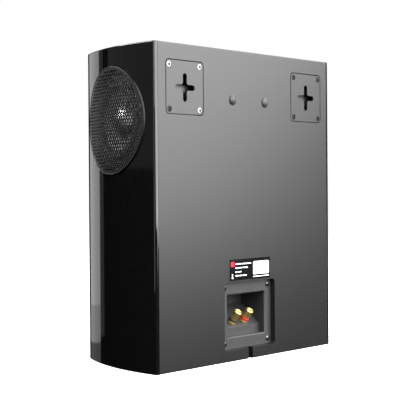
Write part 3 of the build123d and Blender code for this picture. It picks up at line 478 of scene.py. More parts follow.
def settle(piece: bpy.types.Object) -> bpy.types.Object:
    """Turn a piece's modifiers into plain mesh.

    Args:
        piece: The piece with its modifiers.

    Returns:
        The same piece, with no modifiers.
    """
    bpy.context.view_layer.update()
    evaluated = piece.evaluated_get(bpy.context.evaluated_depsgraph_get())
    mesh = bpy.data.meshes.new_from_object(evaluated)
    piece.modifiers.clear()
    old = piece.data
    piece.data = mesh
    if isinstance(old, bpy.types.Mesh):
        bpy.data.meshes.remove(old)
    mesh.name = piece.name
    return piece


def soften(piece: bpy.types.Object, width: float, segments: int = 2) -> bpy.types.Object:
    """Round a piece's sharp edges by a real radius and keep its flat faces flat.

    Args:
        piece: The piece.
        width: The edge's rounding, in metres.
        segments: Steps across the rounding.

    Returns:
        The same piece.
    """
    edge = piece.modifiers.new("edge", "BEVEL")
    edge.width = width
    edge.segments = segments
    edge.limit_method = "ANGLE"
    edge.angle_limit = SMOOTH_BELOW
    edge.use_clamp_overlap = True
    smooth(piece)
    flat = piece.modifiers.new("flat_faces", "WEIGHTED_NORMAL")
    flat.keep_sharp = True
    flat.weight = 80
    return settle(piece)


def smooth(piece: bpy.types.Object, angle: float = SMOOTH_BELOW) -> bpy.types.Object:
    """Shade a piece smooth, with edges above the angle left sharp.

    Args:
        piece: The piece.
        angle: The largest angle that is shaded smooth, in radians.

    Returns:
        The same piece.
    """
    piece.data.shade_smooth()
    piece.data.set_sharp_from_angle(angle=angle)
    return piece


def cut(piece: bpy.types.Object, cutters: Iterable[bpy.types.Object]) -> bpy.types.Object:
    """Take the cutters' shapes out of a piece and remove the cutters.

    Args:
        piece: The piece to cut.
        cutters: Closed shapes.

    Returns:
        The same piece.
    """
    cutters = list(cutters)
    for cutter in cutters:
        hole = piece.modifiers.new(cutter.name, "BOOLEAN")
        hole.operation = "DIFFERENCE"
        hole.solver = "EXACT"
        hole.object = cutter
    settle(piece)
    for cutter in cutters:
        bpy.data.objects.remove(cutter)
    return piece


def copy_of(node: str, name: str) -> bpy.types.Object:
    """A merged, tidied copy of a CAD node's mesh, ready to be refined.

    Args:
        node: The CAD node.
        name: The new piece's name.

    Returns:
        The copy, whose flat faces are whole.
    """
    build = bmesh.new()
    build.from_mesh(frame["nodes"][node].data)
    bmesh.ops.remove_doubles(build, verts=build.verts, dist=1e-6)
    bmesh.ops.dissolve_limit(build, angle_limit=math.radians(0.4), verts=build.verts, edges=build.edges)
    mesh = bpy.data.meshes.new(name)
    build.to_mesh(mesh)
    build.free()
    mesh.materials.clear()
    return link(name, mesh)


def solids_of(node: str) -> list[tuple[Vector, Vector]]:
    """The boxes of a CAD node's separate solids.

    Args:
        node: The CAD node.

    Returns:
        Lowest and highest corner of each solid, in a fixed order.
    """
    build = bmesh.new()
    build.from_mesh(frame["nodes"][node].data)
    bmesh.ops.remove_doubles(build, verts=build.verts, dist=1e-6)
    build.verts.ensure_lookup_table()
    seen: set[int] = set()
    boxes = []
    for first in build.verts:
        if first.index in seen:
            continue
        seen.add(first.index)
        pending, points = [first], []
        while pending:
            vertex = pending.pop()
            points.append(vertex.co.copy())
            for edge in vertex.link_edges:
                other = edge.other_vert(vertex)
                if other.index not in seen:
                    seen.add(other.index)
                    pending.append(other)
        low = Vector(min(p[i] for p in points) for i in range(3))
        high = Vector(max(p[i] for p in points) for i in range(3))
        boxes.append((low, high))
    build.free()
    return sorted(boxes, key=lambda box: tuple(round(c, 5) for c in box[0]))


def dress(piece: bpy.types.Object, finish: Finish, body: str, nodes: Sequence[str] = ()) -> None:
    """Give a finished piece its material and its body, and hide the CAD nodes that it stands for.

    Args:
        piece: The finished piece.
        finish: Its finish.
        body: The body that it rides on.
        nodes: CAD nodes that it replaces.
    """
    piece.data.materials.clear()
    piece.data.materials.append(finish.material())
    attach(piece, body)
    if nodes:
        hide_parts(*nodes)
    log.info("%s on %s, %d faces", piece.name, body, len(piece.data.polygons))


# ------------------------------------------------------------------ geometry-node trees
def new_tree(name: str, inputs: dict[str, tuple[str, object]]) -> tuple[bpy.types.NodeTree, bpy.types.Node]:
    """Start a Geometry Nodes tree with named inputs.

    Args:
        name: The tree's name.
        inputs: Socket type and default value of each input.

    Returns:
        The tree and its group input node.
    """
    tree = bpy.data.node_groups.new(name, "GeometryNodeTree")
    tree.interface.new_socket("Geometry", in_out="INPUT", socket_type="NodeSocketGeometry")
    tree.interface.new_socket("Geometry", in_out="OUTPUT", socket_type="NodeSocketGeometry")
    for label, (kind, default) in inputs.items():
        socket = tree.interface.new_socket(label, in_out="INPUT", socket_type=kind)
        if default is not None:
            socket.default_value = default
    return tree, tree.nodes.new("NodeGroupInput")


def finish_tree(tree: bpy.types.NodeTree, geometry: bpy.types.NodeSocket,
                material: bpy.types.NodeSocket) -> None:
    """End a tree in Realize Instances and Set Material.

    Args:
        tree: The tree.
        geometry: The socket that gives its geometry.
        material: The socket that gives its material.
    """
    realised = add_node(tree, "GeometryNodeRealizeInstances", links={"Geometry": geometry})
    painted = add_node(tree, "GeometryNodeSetMaterial",
                       links={"Geometry": realised.outputs[0], "Material": material})
    add_node(tree, "NodeGroupOutput", links={"Geometry": painted.outputs[0]})


def run_tree(piece: bpy.types.Object, tree: bpy.types.NodeTree,
             values: dict[str, object]) -> bpy.types.Object:
    """Run a tree on a piece with its inputs set by identifier, and keep the plain mesh.

    Args:
        piece: The piece that holds the starting mesh.
        tree: The tree.
        values: Input values by name.

    Returns:
        The same piece.
    """
    modifier = piece.modifiers.new(tree.name, "NODES")
    modifier.node_group = tree
    for item in tree.interface.items_tree:
        if item.in_out == "INPUT" and item.name in values:
            modifier[item.identifier] = values[item.name]
    return settle(piece)


def screw_tree() -> bpy.types.NodeTree:
    """A tree that sets one screw head on each point, along its "out" attribute, at a random turn.

    Returns:
        The tree, with inputs Head, Scale and Finish.
    """
    tree, given = new_tree("screws_on_seats", {
        "Head": ("NodeSocketObject", None), "Scale": ("NodeSocketFloat", 1.0),
        "Finish": ("NodeSocketMaterial", None),
    })
    head = add_node(tree, "GeometryNodeObjectInfo", links={"Object": given.outputs["Head"]})
    out = add_node(tree, "GeometryNodeInputNamedAttribute", {"data_type": "FLOAT_VECTOR", "Name": "out"})
    facing = add_node(tree, "FunctionNodeAlignRotationToVector", {"axis": "Z"},
                      {"Vector": out.outputs["Attribute"]})
    turn = add_node(tree, "FunctionNodeRandomValue", {"data_type": "FLOAT", 2: 0.0, 3: math.tau, 8: RNG_SEED})
    twist = add_node(tree, "FunctionNodeAxisAngleToRotation", {"Axis": (0.0, 0.0, 1.0)},
                     {"Angle": turn.outputs[1]})
    turned = add_node(tree, "FunctionNodeRotateRotation", {"rotation_space": "LOCAL"},
                      {"Rotation": facing.outputs[0], "Rotate By": twist.outputs[0]})
    placed = add_node(tree, "GeometryNodeInstanceOnPoints", links={
        "Points": given.outputs["Geometry"], "Instance": head.outputs["Geometry"],
        "Rotation": turned.outputs[0], "Scale": given.outputs["Scale"]})
    finish_tree(tree, placed.outputs[0], given.outputs["Finish"])
    return tree


def perforation_tree() -> bpy.types.NodeTree:
    """A tree that makes a round sheet with staggered round holes, bent over an upright cylinder.

    Returns:
        The tree, with inputs for its sizes and its finish.
    """
    tree, given = new_tree("perforated_sheet", {
        "Sheet Radius": ("NodeSocketFloat", 0.055), "Rim": ("NodeSocketFloat", 0.003),
        "Pitch": ("NodeSocketFloat", 0.004), "Hole Radius": ("NodeSocketFloat", 0.0014),
        "Bend Radius": ("NodeSocketFloat", 0.232), "Columns": ("NodeSocketInt", 30),
        "Rows": ("NodeSocketInt", 34), "Finish": ("NodeSocketMaterial", None),
    })

    def maths(operation: str, first: object, second: object = 0.0) -> bpy.types.NodeSocket:
        """One sum on two numbers or sockets.

        Args:
            operation: The sum's name.
            first: A number or a socket.
            second: A number or a socket.

        Returns:
            The result's socket.
        """
        settings, links = {"operation": operation}, {}
        for place, value in enumerate((first, second)):
            if isinstance(value, bpy.types.NodeSocket):
                links[place] = value
            else:
                settings[place] = value
        return add_node(tree, "ShaderNodeMath", settings, links).outputs[0]

    pitch = given.outputs["Pitch"]
    row_pitch = maths("MULTIPLY", pitch, math.sqrt(3) / 2)
    grid = add_node(tree, "GeometryNodeMeshGrid", links={
        "Size X": maths("MULTIPLY", pitch, maths("SUBTRACT", given.outputs["Columns"], 1.0)),
        "Size Y": maths("MULTIPLY", row_pitch, maths("SUBTRACT", given.outputs["Rows"], 1.0)),
        "Vertices X": given.outputs["Columns"], "Vertices Y": given.outputs["Rows"]})
    index = add_node(tree, "GeometryNodeInputIndex").outputs[0]
    stagger = maths("MULTIPLY", maths("MODULO", index, 2.0), maths("DIVIDE", pitch, 2.0))
    offset = add_node(tree, "ShaderNodeCombineXYZ", links={"X": stagger})
    points = add_node(tree, "GeometryNodeSetPosition", links={"Geometry": grid.outputs[0],
                                                              "Offset": offset.outputs[0]})
    place = add_node(tree, "GeometryNodeInputPosition").outputs[0]
    reach = add_node(tree, "ShaderNodeVectorMath", {"operation": "LENGTH"}, {0: place}).outputs["Value"]
    open_area = maths("SUBTRACT", given.outputs["Sheet Radius"], given.outputs["Rim"])
    outside = maths("GREATER_THAN", reach, open_area)
    kept = add_node(tree, "GeometryNodeDeleteGeometry", {"domain": "POINT"},
                    {"Geometry": points.outputs[0], "Selection": outside})
    hole = add_node(tree, "GeometryNodeCurvePrimitiveCircle", {"Resolution": 12},
                    {"Radius": given.outputs["Hole Radius"]})
    holes = add_node(tree, "GeometryNodeInstanceOnPoints", links={"Points": kept.outputs[0],
                                                                  "Instance": hole.outputs[0]})
    outline = add_node(tree, "GeometryNodeCurvePrimitiveCircle", {"Resolution": 128},
                       {"Radius": given.outputs["Sheet Radius"]})
    curves = add_node(tree, "GeometryNodeJoinGeometry")
    realised = add_node(tree, "GeometryNodeRealizeInstances", links={"Geometry": holes.outputs[0]})
    tree.links.new(outline.outputs[0], curves.inputs[0])
    tree.links.new(realised.outputs[0], curves.inputs[0])
    sheet = add_node(tree, "GeometryNodeFillCurve", links={"Curve": curves.outputs[0]})
    split = add_node(tree, "ShaderNodeSeparateXYZ", links={"Vector": place})
    across = maths("POWER", split.outputs["X"], 2.0)
    bend = given.outputs["Bend Radius"]
    depth = maths("SUBTRACT", maths("SQRT", maths("SUBTRACT", maths("POWER", bend, 2.0), across)), bend)
    drop = add_node(tree, "ShaderNodeCombineXYZ", links={"Z": depth})
    bent = add_node(tree, "GeometryNodeSetPosition",
                    links={"Geometry": sheet.outputs[0], "Offset": drop.outputs[0]})
    finish_tree(tree, bent.outputs[0], given.outputs["Finish"])
    return tree


def screws(name: str, seats: Sequence[tuple[Vector, Vector]], head: bmesh.types.BMesh,
           finish: Finish) -> bpy.types.Object:
    """Set equal screw heads on their seats.

    Args:
        name: The piece's name.
        seats: Point and outward direction of each screw.
        head: The head's mesh on the local Z axis.
        finish: The screws' finish.

    Returns:
        One piece with every head.
    """
    pattern = smooth(piece_from("screw_head_pattern", head), math.radians(30))
    build = bmesh.new()
    for point, _ in seats:
        build.verts.new(point)
    mesh = bpy.data.meshes.new(name)
    build.to_mesh(mesh)
    build.free()
    outward = mesh.attributes.new("out", "FLOAT_VECTOR", "POINT")
    outward.data.foreach_set("vector", [c for _, out in seats for c in out])
    piece = link(name, mesh)
    run_tree(piece, TREES["screws"], {"Head": pattern, "Finish": finish.material()})
    bpy.data.objects.remove(pattern)
    return piece


def cross_head(profile: Profile, arm: float, depth: float, top: float) -> bmesh.types.BMesh:
    """A turned screw head with a cross-shaped driver recess.

    Args:
        profile: The head's outline.
        arm: Tip-to-tip width of the cross.
        depth: Depth of the recess.
        top: Height of the head's top.

    Returns:
        The head's mesh.
    """
    head = piece_from("head", lathe(profile, 24))
    cutters = []
    wide, narrow = arm / 2, arm * 0.22
    mouth = ((-wide, -narrow), (wide, -narrow), (wide, narrow), (-wide, narrow))
    for turn in (0.0, math.pi / 2):
        build = bmesh.new()
        top_ring = [build.verts.new((x, y, top + MM)) for x, y in mouth]
        low_ring = [build.verts.new((x * 0.55, y * 0.7, top - depth)) for x, y in mouth]
        build.faces.new(top_ring)
        build.faces.new(list(reversed(low_ring)))
        for i in range(4):
            j = (i + 1) % 4
            build.faces.new((low_ring[i], low_ring[j], top_ring[j], top_ring[i]))
        cutters.append(piece_from("recess", build, Matrix.Rotation(turn, 4, "Z")))
    cut(head, cutters)
    build = bmesh.new()
    build.from_mesh(head.data)
    bpy.data.objects.remove(head)
    return build


# ------------------------------------------------------------------ the cabinet
@dataclass
class Cabinet:
    """The lacquered box: two bent sides, the painted back board, top, bottom and baffle."""

    half_back: float = 142 * MM
    narrowing: float = 30 * MM
    bulge: float = 10.4 * MM
    side_thickness: float = 18 * MM
    corner: float = 2.5 * MM
    rim_round: float = 0.9 * MM
    lip: float = 3.7 * MM
    back_board: float = 15 * MM
    driver_z: float = 254 * MM
    step_radius: float = 56.4 * MM
    step_depth: float = 3.4 * MM
    recess_radius: float = 51.5 * MM
    recess_depth: float = 10 * MM
    driver_hole: float = 43.7 * MM
    strips: int = 120
    groove_depth: float = 5 * MM
    groove_outside: float = 1.0 * MM
    groove_inside: float = 0.2 * MM
    plate_corner: float = 3.6 * MM
    cutter_top: float = 20 * MM
    cutter_foot: float = -40 * MM

    def __post_init__(self) -> None:
        """Work out the side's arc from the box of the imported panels."""
        self.y_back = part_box("back_panel")[1].y
        self.y_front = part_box("front_baffle")[0].y
        self.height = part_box("back_panel")[1].z
        depth = self.y_back - self.y_front
        chord = math.hypot(self.narrowing, depth)
        tilt = math.atan2(self.narrowing, depth)
        self.radius = (chord ** 2 / 4 + self.bulge ** 2) / (2 * self.bulge)
        self.out = Vector((math.cos(tilt), -math.sin(tilt), 0))
        chord_middle = Vector((self.half_back - self.narrowing / 2, (self.y_back + self.y_front) / 2, 0))
        self.middle = chord_middle + self.out * self.bulge
        self.centre = self.middle - self.out * self.radius

    def side_seat(self, sign: int, depth: float = 0.0) -> Matrix:
        """A seat at the side driver's middle, depth below the curved surface.

        Args:
            sign: 1 for the +X side, -1 for the other.
            depth: How far below the surface.

        Returns:
            The seat's matrix, mirrored for the other side.
        """
        origin = self.middle - self.out * depth + Vector((0, 0, self.driver_z))
        seat = Seat(origin, Vector((-self.out.y, self.out.x, 0)), self.out).matrix
        return seat if sign > 0 else Matrix.Scale(-1, 4, (1, 0, 0)) @ seat

    def arc_spot(self, radius: float, y: float) -> Point:
        """The point at depth y on an arc that shares the side's centre."""
        return self.centre.x + math.sqrt(radius ** 2 - (y - self.centre.y) ** 2), y

    def corner_round(self, y: float, inward: int) -> tuple[list[Point], float]:
        """The rounding between the curved side and a flat end.

        Args:
            y: The flat end's place.
            inward: 1 if the cabinet lies towards +Y of it, -1 otherwise.

        Returns:
            The rounding's points from the arc to the flat end, and its angle on the side's arc.
        """
        x, y_middle = self.arc_spot(self.radius - self.corner, y + inward * self.corner)
        lean = math.degrees(math.atan2(y_middle - self.centre.y, x - self.centre.x))
        end = -90 if inward > 0 else 90
        return arc((x, y_middle), self.corner, lean, end, 6), lean

    def side_panel(self, sign: int) -> bpy.types.Object:
        """One bent side panel with its rounded corners and its driver's seat.

        Args:
            sign: 1 for the +X side, -1 for the other.

        Returns:
            The panel.
        """
        back_round, back_lean = self.corner_round(self.y_back, -1)
        front_round, front_lean = self.corner_round(self.y_front, 1)
        centre = (self.centre.x, self.centre.y)
        face = arc(centre, self.radius, front_lean, back_lean, self.strips)
        inner = self.radius - self.side_thickness
        shoulder = self.y_back - self.back_board
        inside = [self.arc_spot(inner, shoulder + (self.y_front - shoulder) * i / 24) for i in range(25)]
        outline = list(reversed(front_round))[:-1] + face + back_round[1:]
        outline += [(self.half_back - self.lip, self.y_back), (self.half_back - self.lip, shoulder)] + inside
        build = prism(outline, 0, self.height)
        weight = build.edges.layers.float.new("bevel_weight_edge")
        for edge in build.edges:
            ends = [v.co for v in edge.verts]
            level = abs(ends[0].z - ends[1].z) < 1e-6
            outer = all((v.xy - self.centre.xy).length > self.radius - self.corner * 1.2 for v in ends)
            edge[weight] = 1.0 if level and outer else 0.0
        mirror = None if sign > 0 else Matrix.Scale(-1, 4, (1, 0, 0))
        name = "side_panel_right_lacquered" if sign > 0 else "side_panel_left_lacquered"
        panel = piece_from(name, build, mirror)
        rim = panel.modifiers.new("rim", "BEVEL")
        rim.limit_method = "WEIGHT"
        rim.width = self.rim_round
        rim.segments = 3
        rim.use_clamp_overlap = False
        settle(panel)
        cut(panel, self.seat_cutters(sign))
        smooth(panel, math.radians(30))
        self.true_normals(panel, sign)
        return panel

    def seat_cutters(self, sign: int) -> list[bpy.types.Object]:
        """The shapes that open the driver's seat: a curved step, a flat recess and the through hole.

        Args:
            sign: 1 for the +X side, -1 for the other.

        Returns:
            The three cutters.
        """
        def bent(x: float) -> float:
            """Height of the step's floor at a place across the side."""
            inner = self.radius - self.step_depth
            return math.sqrt(inner ** 2 - x ** 2) - self.radius

        def drum(radius: float, low: float, high: float) -> bmesh.types.BMesh:
            """A plain round cutter."""
            return lathe([(0, low), (radius, low), (radius, high), (0, high)], 96)

        top = self.cutter_top
        step = lathe([(self.step_radius * i / 12, -self.step_depth) for i in range(13)]
                     + [(self.step_radius, top), (0, top)], 96)
        for vertex in step.verts:
            if vertex.co.z < 0:
                vertex.co.z = bent(vertex.co.x)
        seat = self.side_seat(sign)
        recess = drum(self.recess_radius, -self.recess_depth, top + MM)
        hole = drum(self.driver_hole, self.cutter_foot, top + 2 * MM)
        return [piece_from(name, build, seat) for name, build in
                (("step", step), ("recess", recess), ("hole", hole))]

    def true_normals(self, panel: bpy.types.Object, sign: int) -> None:
        """Point the curved face's normals out from the arc's centre, so that reflections run true.

        Args:
            panel: The side panel.
            sign: 1 for the +X side, -1 for the other.
        """
        mesh = panel.data
        centre = Vector((self.centre.x * sign, self.centre.y))
        normals = [n.vector.copy() for n in mesh.corner_normals]
        for face in mesh.polygons:
            middle = Vector(face.center.xy) - centre
            on_face = abs(middle.length - self.radius) < 0.1 * MM
            if on_face and face.normal.xy.dot(middle.normalized()) > 0.999:
                for loop in face.loop_indices:
                    spot = mesh.vertices[mesh.loops[loop].vertex_index].co.xy - centre
                    if abs(spot.length - self.radius) < 0.02 * MM:
                        normals[loop] = Vector((*spot.normalized(), 0.0))
        mesh.normals_split_custom_set(normals)

    def plate_groove(self, node: str) -> bpy.types.Object:
        """The shape that deepens the narrow gap round one wall plate.

        Args:
            node: The plate's node.

        Returns:
            The cutter, a square ring.
        """
        low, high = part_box(node)
        middle, side = (low + high) / 2, high.x - low.x
        seat = back_seat(middle.x, self.y_back, middle.z)
        wide, narrow = side + 2 * self.groove_outside, side - 2 * self.groove_inside
        outer = rounded_rectangle(wide, wide, self.plate_corner + self.groove_outside)
        inner = rounded_rectangle(narrow, narrow, self.plate_corner)
        ring = piece_from("groove", prism(outer, -self.groove_depth, MM), seat)
        core = piece_from("groove_core", prism(inner, -2 * self.groove_depth, 2 * MM), seat)
        return cut(ring, [core])

    def build(self) -> None:
        """Make the panels and boards."""
        lacquer = FINISHES["gloss_lacquered_board"]
        for sign, node in ((1, "side_panel_right"), (-1, "side_panel_left")):
            dress(self.side_panel(sign), lacquer, "cabinet", [node])
        boards = {"top_panel": 0.12, "bottom_panel": 0.12, "front_baffle": 0.2, "back_panel": 0.5}
        for node, rounding in boards.items():
            board = copy_of(node, f"{node}_finished")
            if node == "back_panel":
                cut(board, [self.plate_groove(f"wall_plate_{side}") for side in ("right", "left")])
            board = soften(board, rounding * MM, 2)
            dress(board, FINISHES[SLOT_OF[node]], "cabinet", [node])


# ------------------------------------------------------------------ side grilles and drivers
@dataclass
class SideGrille:
    """A pressed round grille bent to the side's curve, with a hemmed rim and a skirt."""

    cabinet: Cabinet
    radius: float = 56 * MM
    proud: float = 1.5 * MM
    thickness: float = 0.8 * MM
    skirt: float = 3.0 * MM
    pitch: float = 4.0 * MM
    hole: float = 1.5 * MM
    rim: float = 3.0 * MM
    hem: float = 0.75 * MM

    def bend(self, x: float) -> float:
        """How far the curve has fallen at a place across the grille."""
        bend_radius = self.cabinet.radius + self.proud
        return math.sqrt(bend_radius ** 2 - x ** 2) - bend_radius

    def sheet(self, sign: int) -> bpy.types.Object:
        """The perforated sheet with its hemmed rim joined on.

        Args:
            sign: 1 for the +X side, -1 for the other.

        Returns:
            The grille.
        """
        name = "side_grille_right_perforated" if sign > 0 else "side_grille_left_perforated"
        piece = link(name, bpy.data.meshes.new(name))
        run_tree(piece, TREES["perforation"], {
            "Sheet Radius": self.radius - self.hem, "Rim": self.rim, "Pitch": self.pitch,
            "Hole Radius": self.hole, "Bend Radius": self.cabinet.radius + self.proud,
            "Finish": FINISHES["black_steel"].material()})
        wall = piece.modifiers.new("thickness", "SOLIDIFY")
        wall.thickness = self.thickness
        wall.offset = -1.0
        settle(piece)
        build = bmesh.new()
        build.from_mesh(piece.data)
        hem_middle = self.radius - self.hem
        outline = arc((hem_middle, -self.hem * 0.6), self.hem, 150, 0, 8)
        foot = -self.proud - self.skirt
        outline += [(self.radius, foot), (self.radius - self.thickness, foot)]
        rim = lathe(outline, 128)
        for vertex in rim.verts:
            vertex.co.z += self.bend(vertex.co.x)
        bmesh.ops.recalc_face_normals(rim, faces=rim.faces)
        merge(build, rim)
        build.to_mesh(piece.data)
        build.free()
        seat = self.cabinet.side_seat(sign) @ Matrix.Translation((0, 0, self.proud))
        piece.data.transform(seat)
        if sign < 0:
            piece.data.flip_normals()
        return smooth(piece, math.radians(50))

    def build(self) -> None:
        """Make both grilles."""
        for sign, node in ((1, "side_grille_right"), (-1, "side_grille_left")):
            dress(self.sheet(sign), FINISHES["black_steel"], "cabinet", [node])


@dataclass
class ConeDriver:
    """The moving parts and the edge of one cone driver, turned about its own axis."""

    prefix: str
    body: str
    seat: Matrix
    opening: float
    cone: float
    coil: float
    basket_depth: float
    cap_overlap: float
    cap_rise: float
    surround_seat: float = 2.0 * MM
    surround_thickness: float = 0.7 * MM
    cone_thickness: float = 0.8 * MM
    cap_wall: float = 0.6 * MM

    def surround(self) -> bmesh.types.BMesh:
        """The half-roll rubber edge.

        Returns:
            The turned edge.
        """
        base = -self.surround_seat
        top = base + self.surround_thickness
        middle, roll = (self.opening + self.cone) / 2, (self.opening - self.cone) / 2
        inner = roll - self.surround_thickness
        outline = [(self.opening + 2.8 * MM, base), (self.opening + 2.8 * MM, top)]
        outline += arc((middle, top), roll, 0, 180, 16)
        outline += [(self.cone - 2.5 * MM, top), (self.cone - 2.5 * MM, base)]
        outline += arc((middle, base), inner, 180, 0, 16)
        return lathe(outline, 128)

    def neck(self) -> float:
        """Height of the cone's neck."""
        return -self.surround_seat - self.basket_depth * 0.5

    def flared(self, start: Point, end: Point, belly: float, steps: int = 14) -> list[Point]:
        """A gently curved line between two outline points, bowed outwards by belly.

        Args:
            start: First point.
            end: Last point.
            belly: How far the middle is bowed.
            steps: Spans along the line.

        Returns:
            The line's points.
        """
        spots = []
        for i in range(steps + 1):
            share = i / steps
            bow = belly * math.sin(math.pi * share)
            spots.append((start[0] + (end[0] - start[0]) * share + bow,
                          start[1] + (end[1] - start[1]) * share - bow * 0.3))
        return spots

    def cone_shape(self) -> bmesh.types.BMesh:
        """The flared cone from its rim to its neck.

        Returns:
            The turned cone.
        """
        rim, neck, thin = -self.surround_seat, self.neck(), self.cone_thickness
        hole = self.coil + 0.6 * MM
        outline = [(self.cone, rim)]
        outline += self.flared((self.cone - 3 * MM, rim), (hole, neck + thin), -0.4 * MM)
        outline += [(hole, neck - 1.5 * MM), (hole + thin, neck - 1.5 * MM)]
        outline += self.flared((hole + thin, neck - 0.3 * MM), (self.cone - 2.4 * MM, rim - thin), -0.4 * MM)
        outline += [(self.cone, rim - thin)]
        return lathe(outline, 128)

    def dust_cap(self) -> bmesh.types.BMesh:
        """The spun dome glued over the coil.

        Returns:
            The turned dome.
        """
        edge = self.coil + self.cap_overlap
        slope = self.cap_overlap / (self.cone - 3 * MM - self.coil)
        top = self.neck() + self.cone_thickness
        foot = top + slope * (-self.surround_seat - top) + self.cone_thickness
        return lathe(dome(edge, self.cap_rise, foot, 18, self.cap_wall), 96)

    def build(self) -> None:
        """Make the driver's visible turned pieces."""
        for part, made, body in (("surround", self.surround(), "cabinet"),
                                 ("cone", self.cone_shape(), self.body),
                                 ("dust_cap", self.dust_cap(), self.body)):
            node = f"{self.prefix}_{part}"
            piece = smooth(piece_from(f"{node}_turned", made, self.seat))
            dress(piece, SPECIAL.get(node, FINISHES[SLOT_OF[node]]), body, [node])


@dataclass
class Tweeter:
    """The silk dome, its small edge and the moulded faceplate."""

    coil: float = 12.7 * MM
    rise: float = 6.0 * MM
    dome_seat: float = -3.0 * MM
    wall: float = 0.5 * MM
    z: float = 243 * MM

    def build(self, cabinet: Cabinet) -> None:
        """Make the dome, its edge and the faceplate.

        Args:
            cabinet: The cabinet, for the place of its front.
        """
        foot = cabinet.y_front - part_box("tweeter_dome")[1].y
        outline = [(self.coil, foot), *dome(self.coil, self.rise, self.dome_seat, 14, self.wall),
                   (self.coil - self.wall, foot)]
        silk = piece_from("tweeter_dome_turned", lathe(outline, 96), front_seat(cabinet.y_front, self.z))
        dress(smooth(silk), FINISHES["silk"], "tweeter_moving", ["tweeter_dome"])
        plate = soften(copy_of("tweeter_faceplate", "tweeter_faceplate_finished"), 0.3 * MM)
        dress(plate, FINISHES["black_abs"], "cabinet", ["tweeter_faceplate"])


# ------------------------------------------------------------------ front grille
@dataclass
class FrontGrille:
    """The cloth stretched over the moulded frame."""

    corner: float = 6.6 * MM
    edge: float = 3.6 * MM
    bar: float = 22 * MM
    cloth: float = 0.6 * MM
    slack: float = 0.35 * MM

    def rings(self, depth: float) -> list[tuple[float, float]]:
        """How far in and how high each ring of the cloth lies, from its hem to its middle.

        Args:
            depth: Height of the cloth's face above its hem.

        Returns:
            Inset and height of each ring.
        """
        rings = [(0.0, 0.0), (0.0, depth - self.edge)]
        for step in range(1, 7):
            turn = math.pi / 2 * step / 6
            rings.append((self.edge * (1 - math.cos(turn)), depth - self.edge * (1 - math.sin(turn))))
        rings += [(self.bar * share, depth) for share in (0.4, 0.7, 0.95)]
        rings += [(self.bar * share, depth - self.slack * dip) for share, dip in
                  ((1.1, 0.25), (1.35, 0.6), (1.8, 0.85), (2.6, 1.0), (3.6, 1.0))]
        return rings

    def build(self) -> None:
        """Make the cloth."""
        low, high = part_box("grille_cloth")
        width, height, depth = high.x - low.x, high.z - low.z, high.y - low.y
        build = bmesh.new()
        steps = 8
        loops = []
        for inset, level in self.rings(depth):
            corner = max(self.corner - inset, 0.6 * MM)
            outline = rounded_rectangle(width - 2 * inset, height - 2 * inset, corner, steps)
            loops.append([build.verts.new((x, y, level)) for x, y in outline])
        for outer, inner in zip(loops, loops[1:]):
            for i in range(len(outer)):
                j = (i + 1) % len(outer)
                build.faces.new((outer[i], outer[j], inner[j], inner[i]))
        build.faces.new(loops[-1])
        bmesh.ops.recalc_face_normals(build, faces=build.faces)
        cloth = piece_from("grille_cloth_stretched", build, front_seat(high.y, (low.z + high.z) / 2))
        wall = cloth.modifiers.new("cloth", "SOLIDIFY")
        wall.thickness = self.cloth
        wall.offset = -1.0
        settle(cloth)
        smooth(cloth, math.radians(60))
        dress(cloth, FINISHES["acoustic_cloth"], "front_grille", ["grille_cloth"])


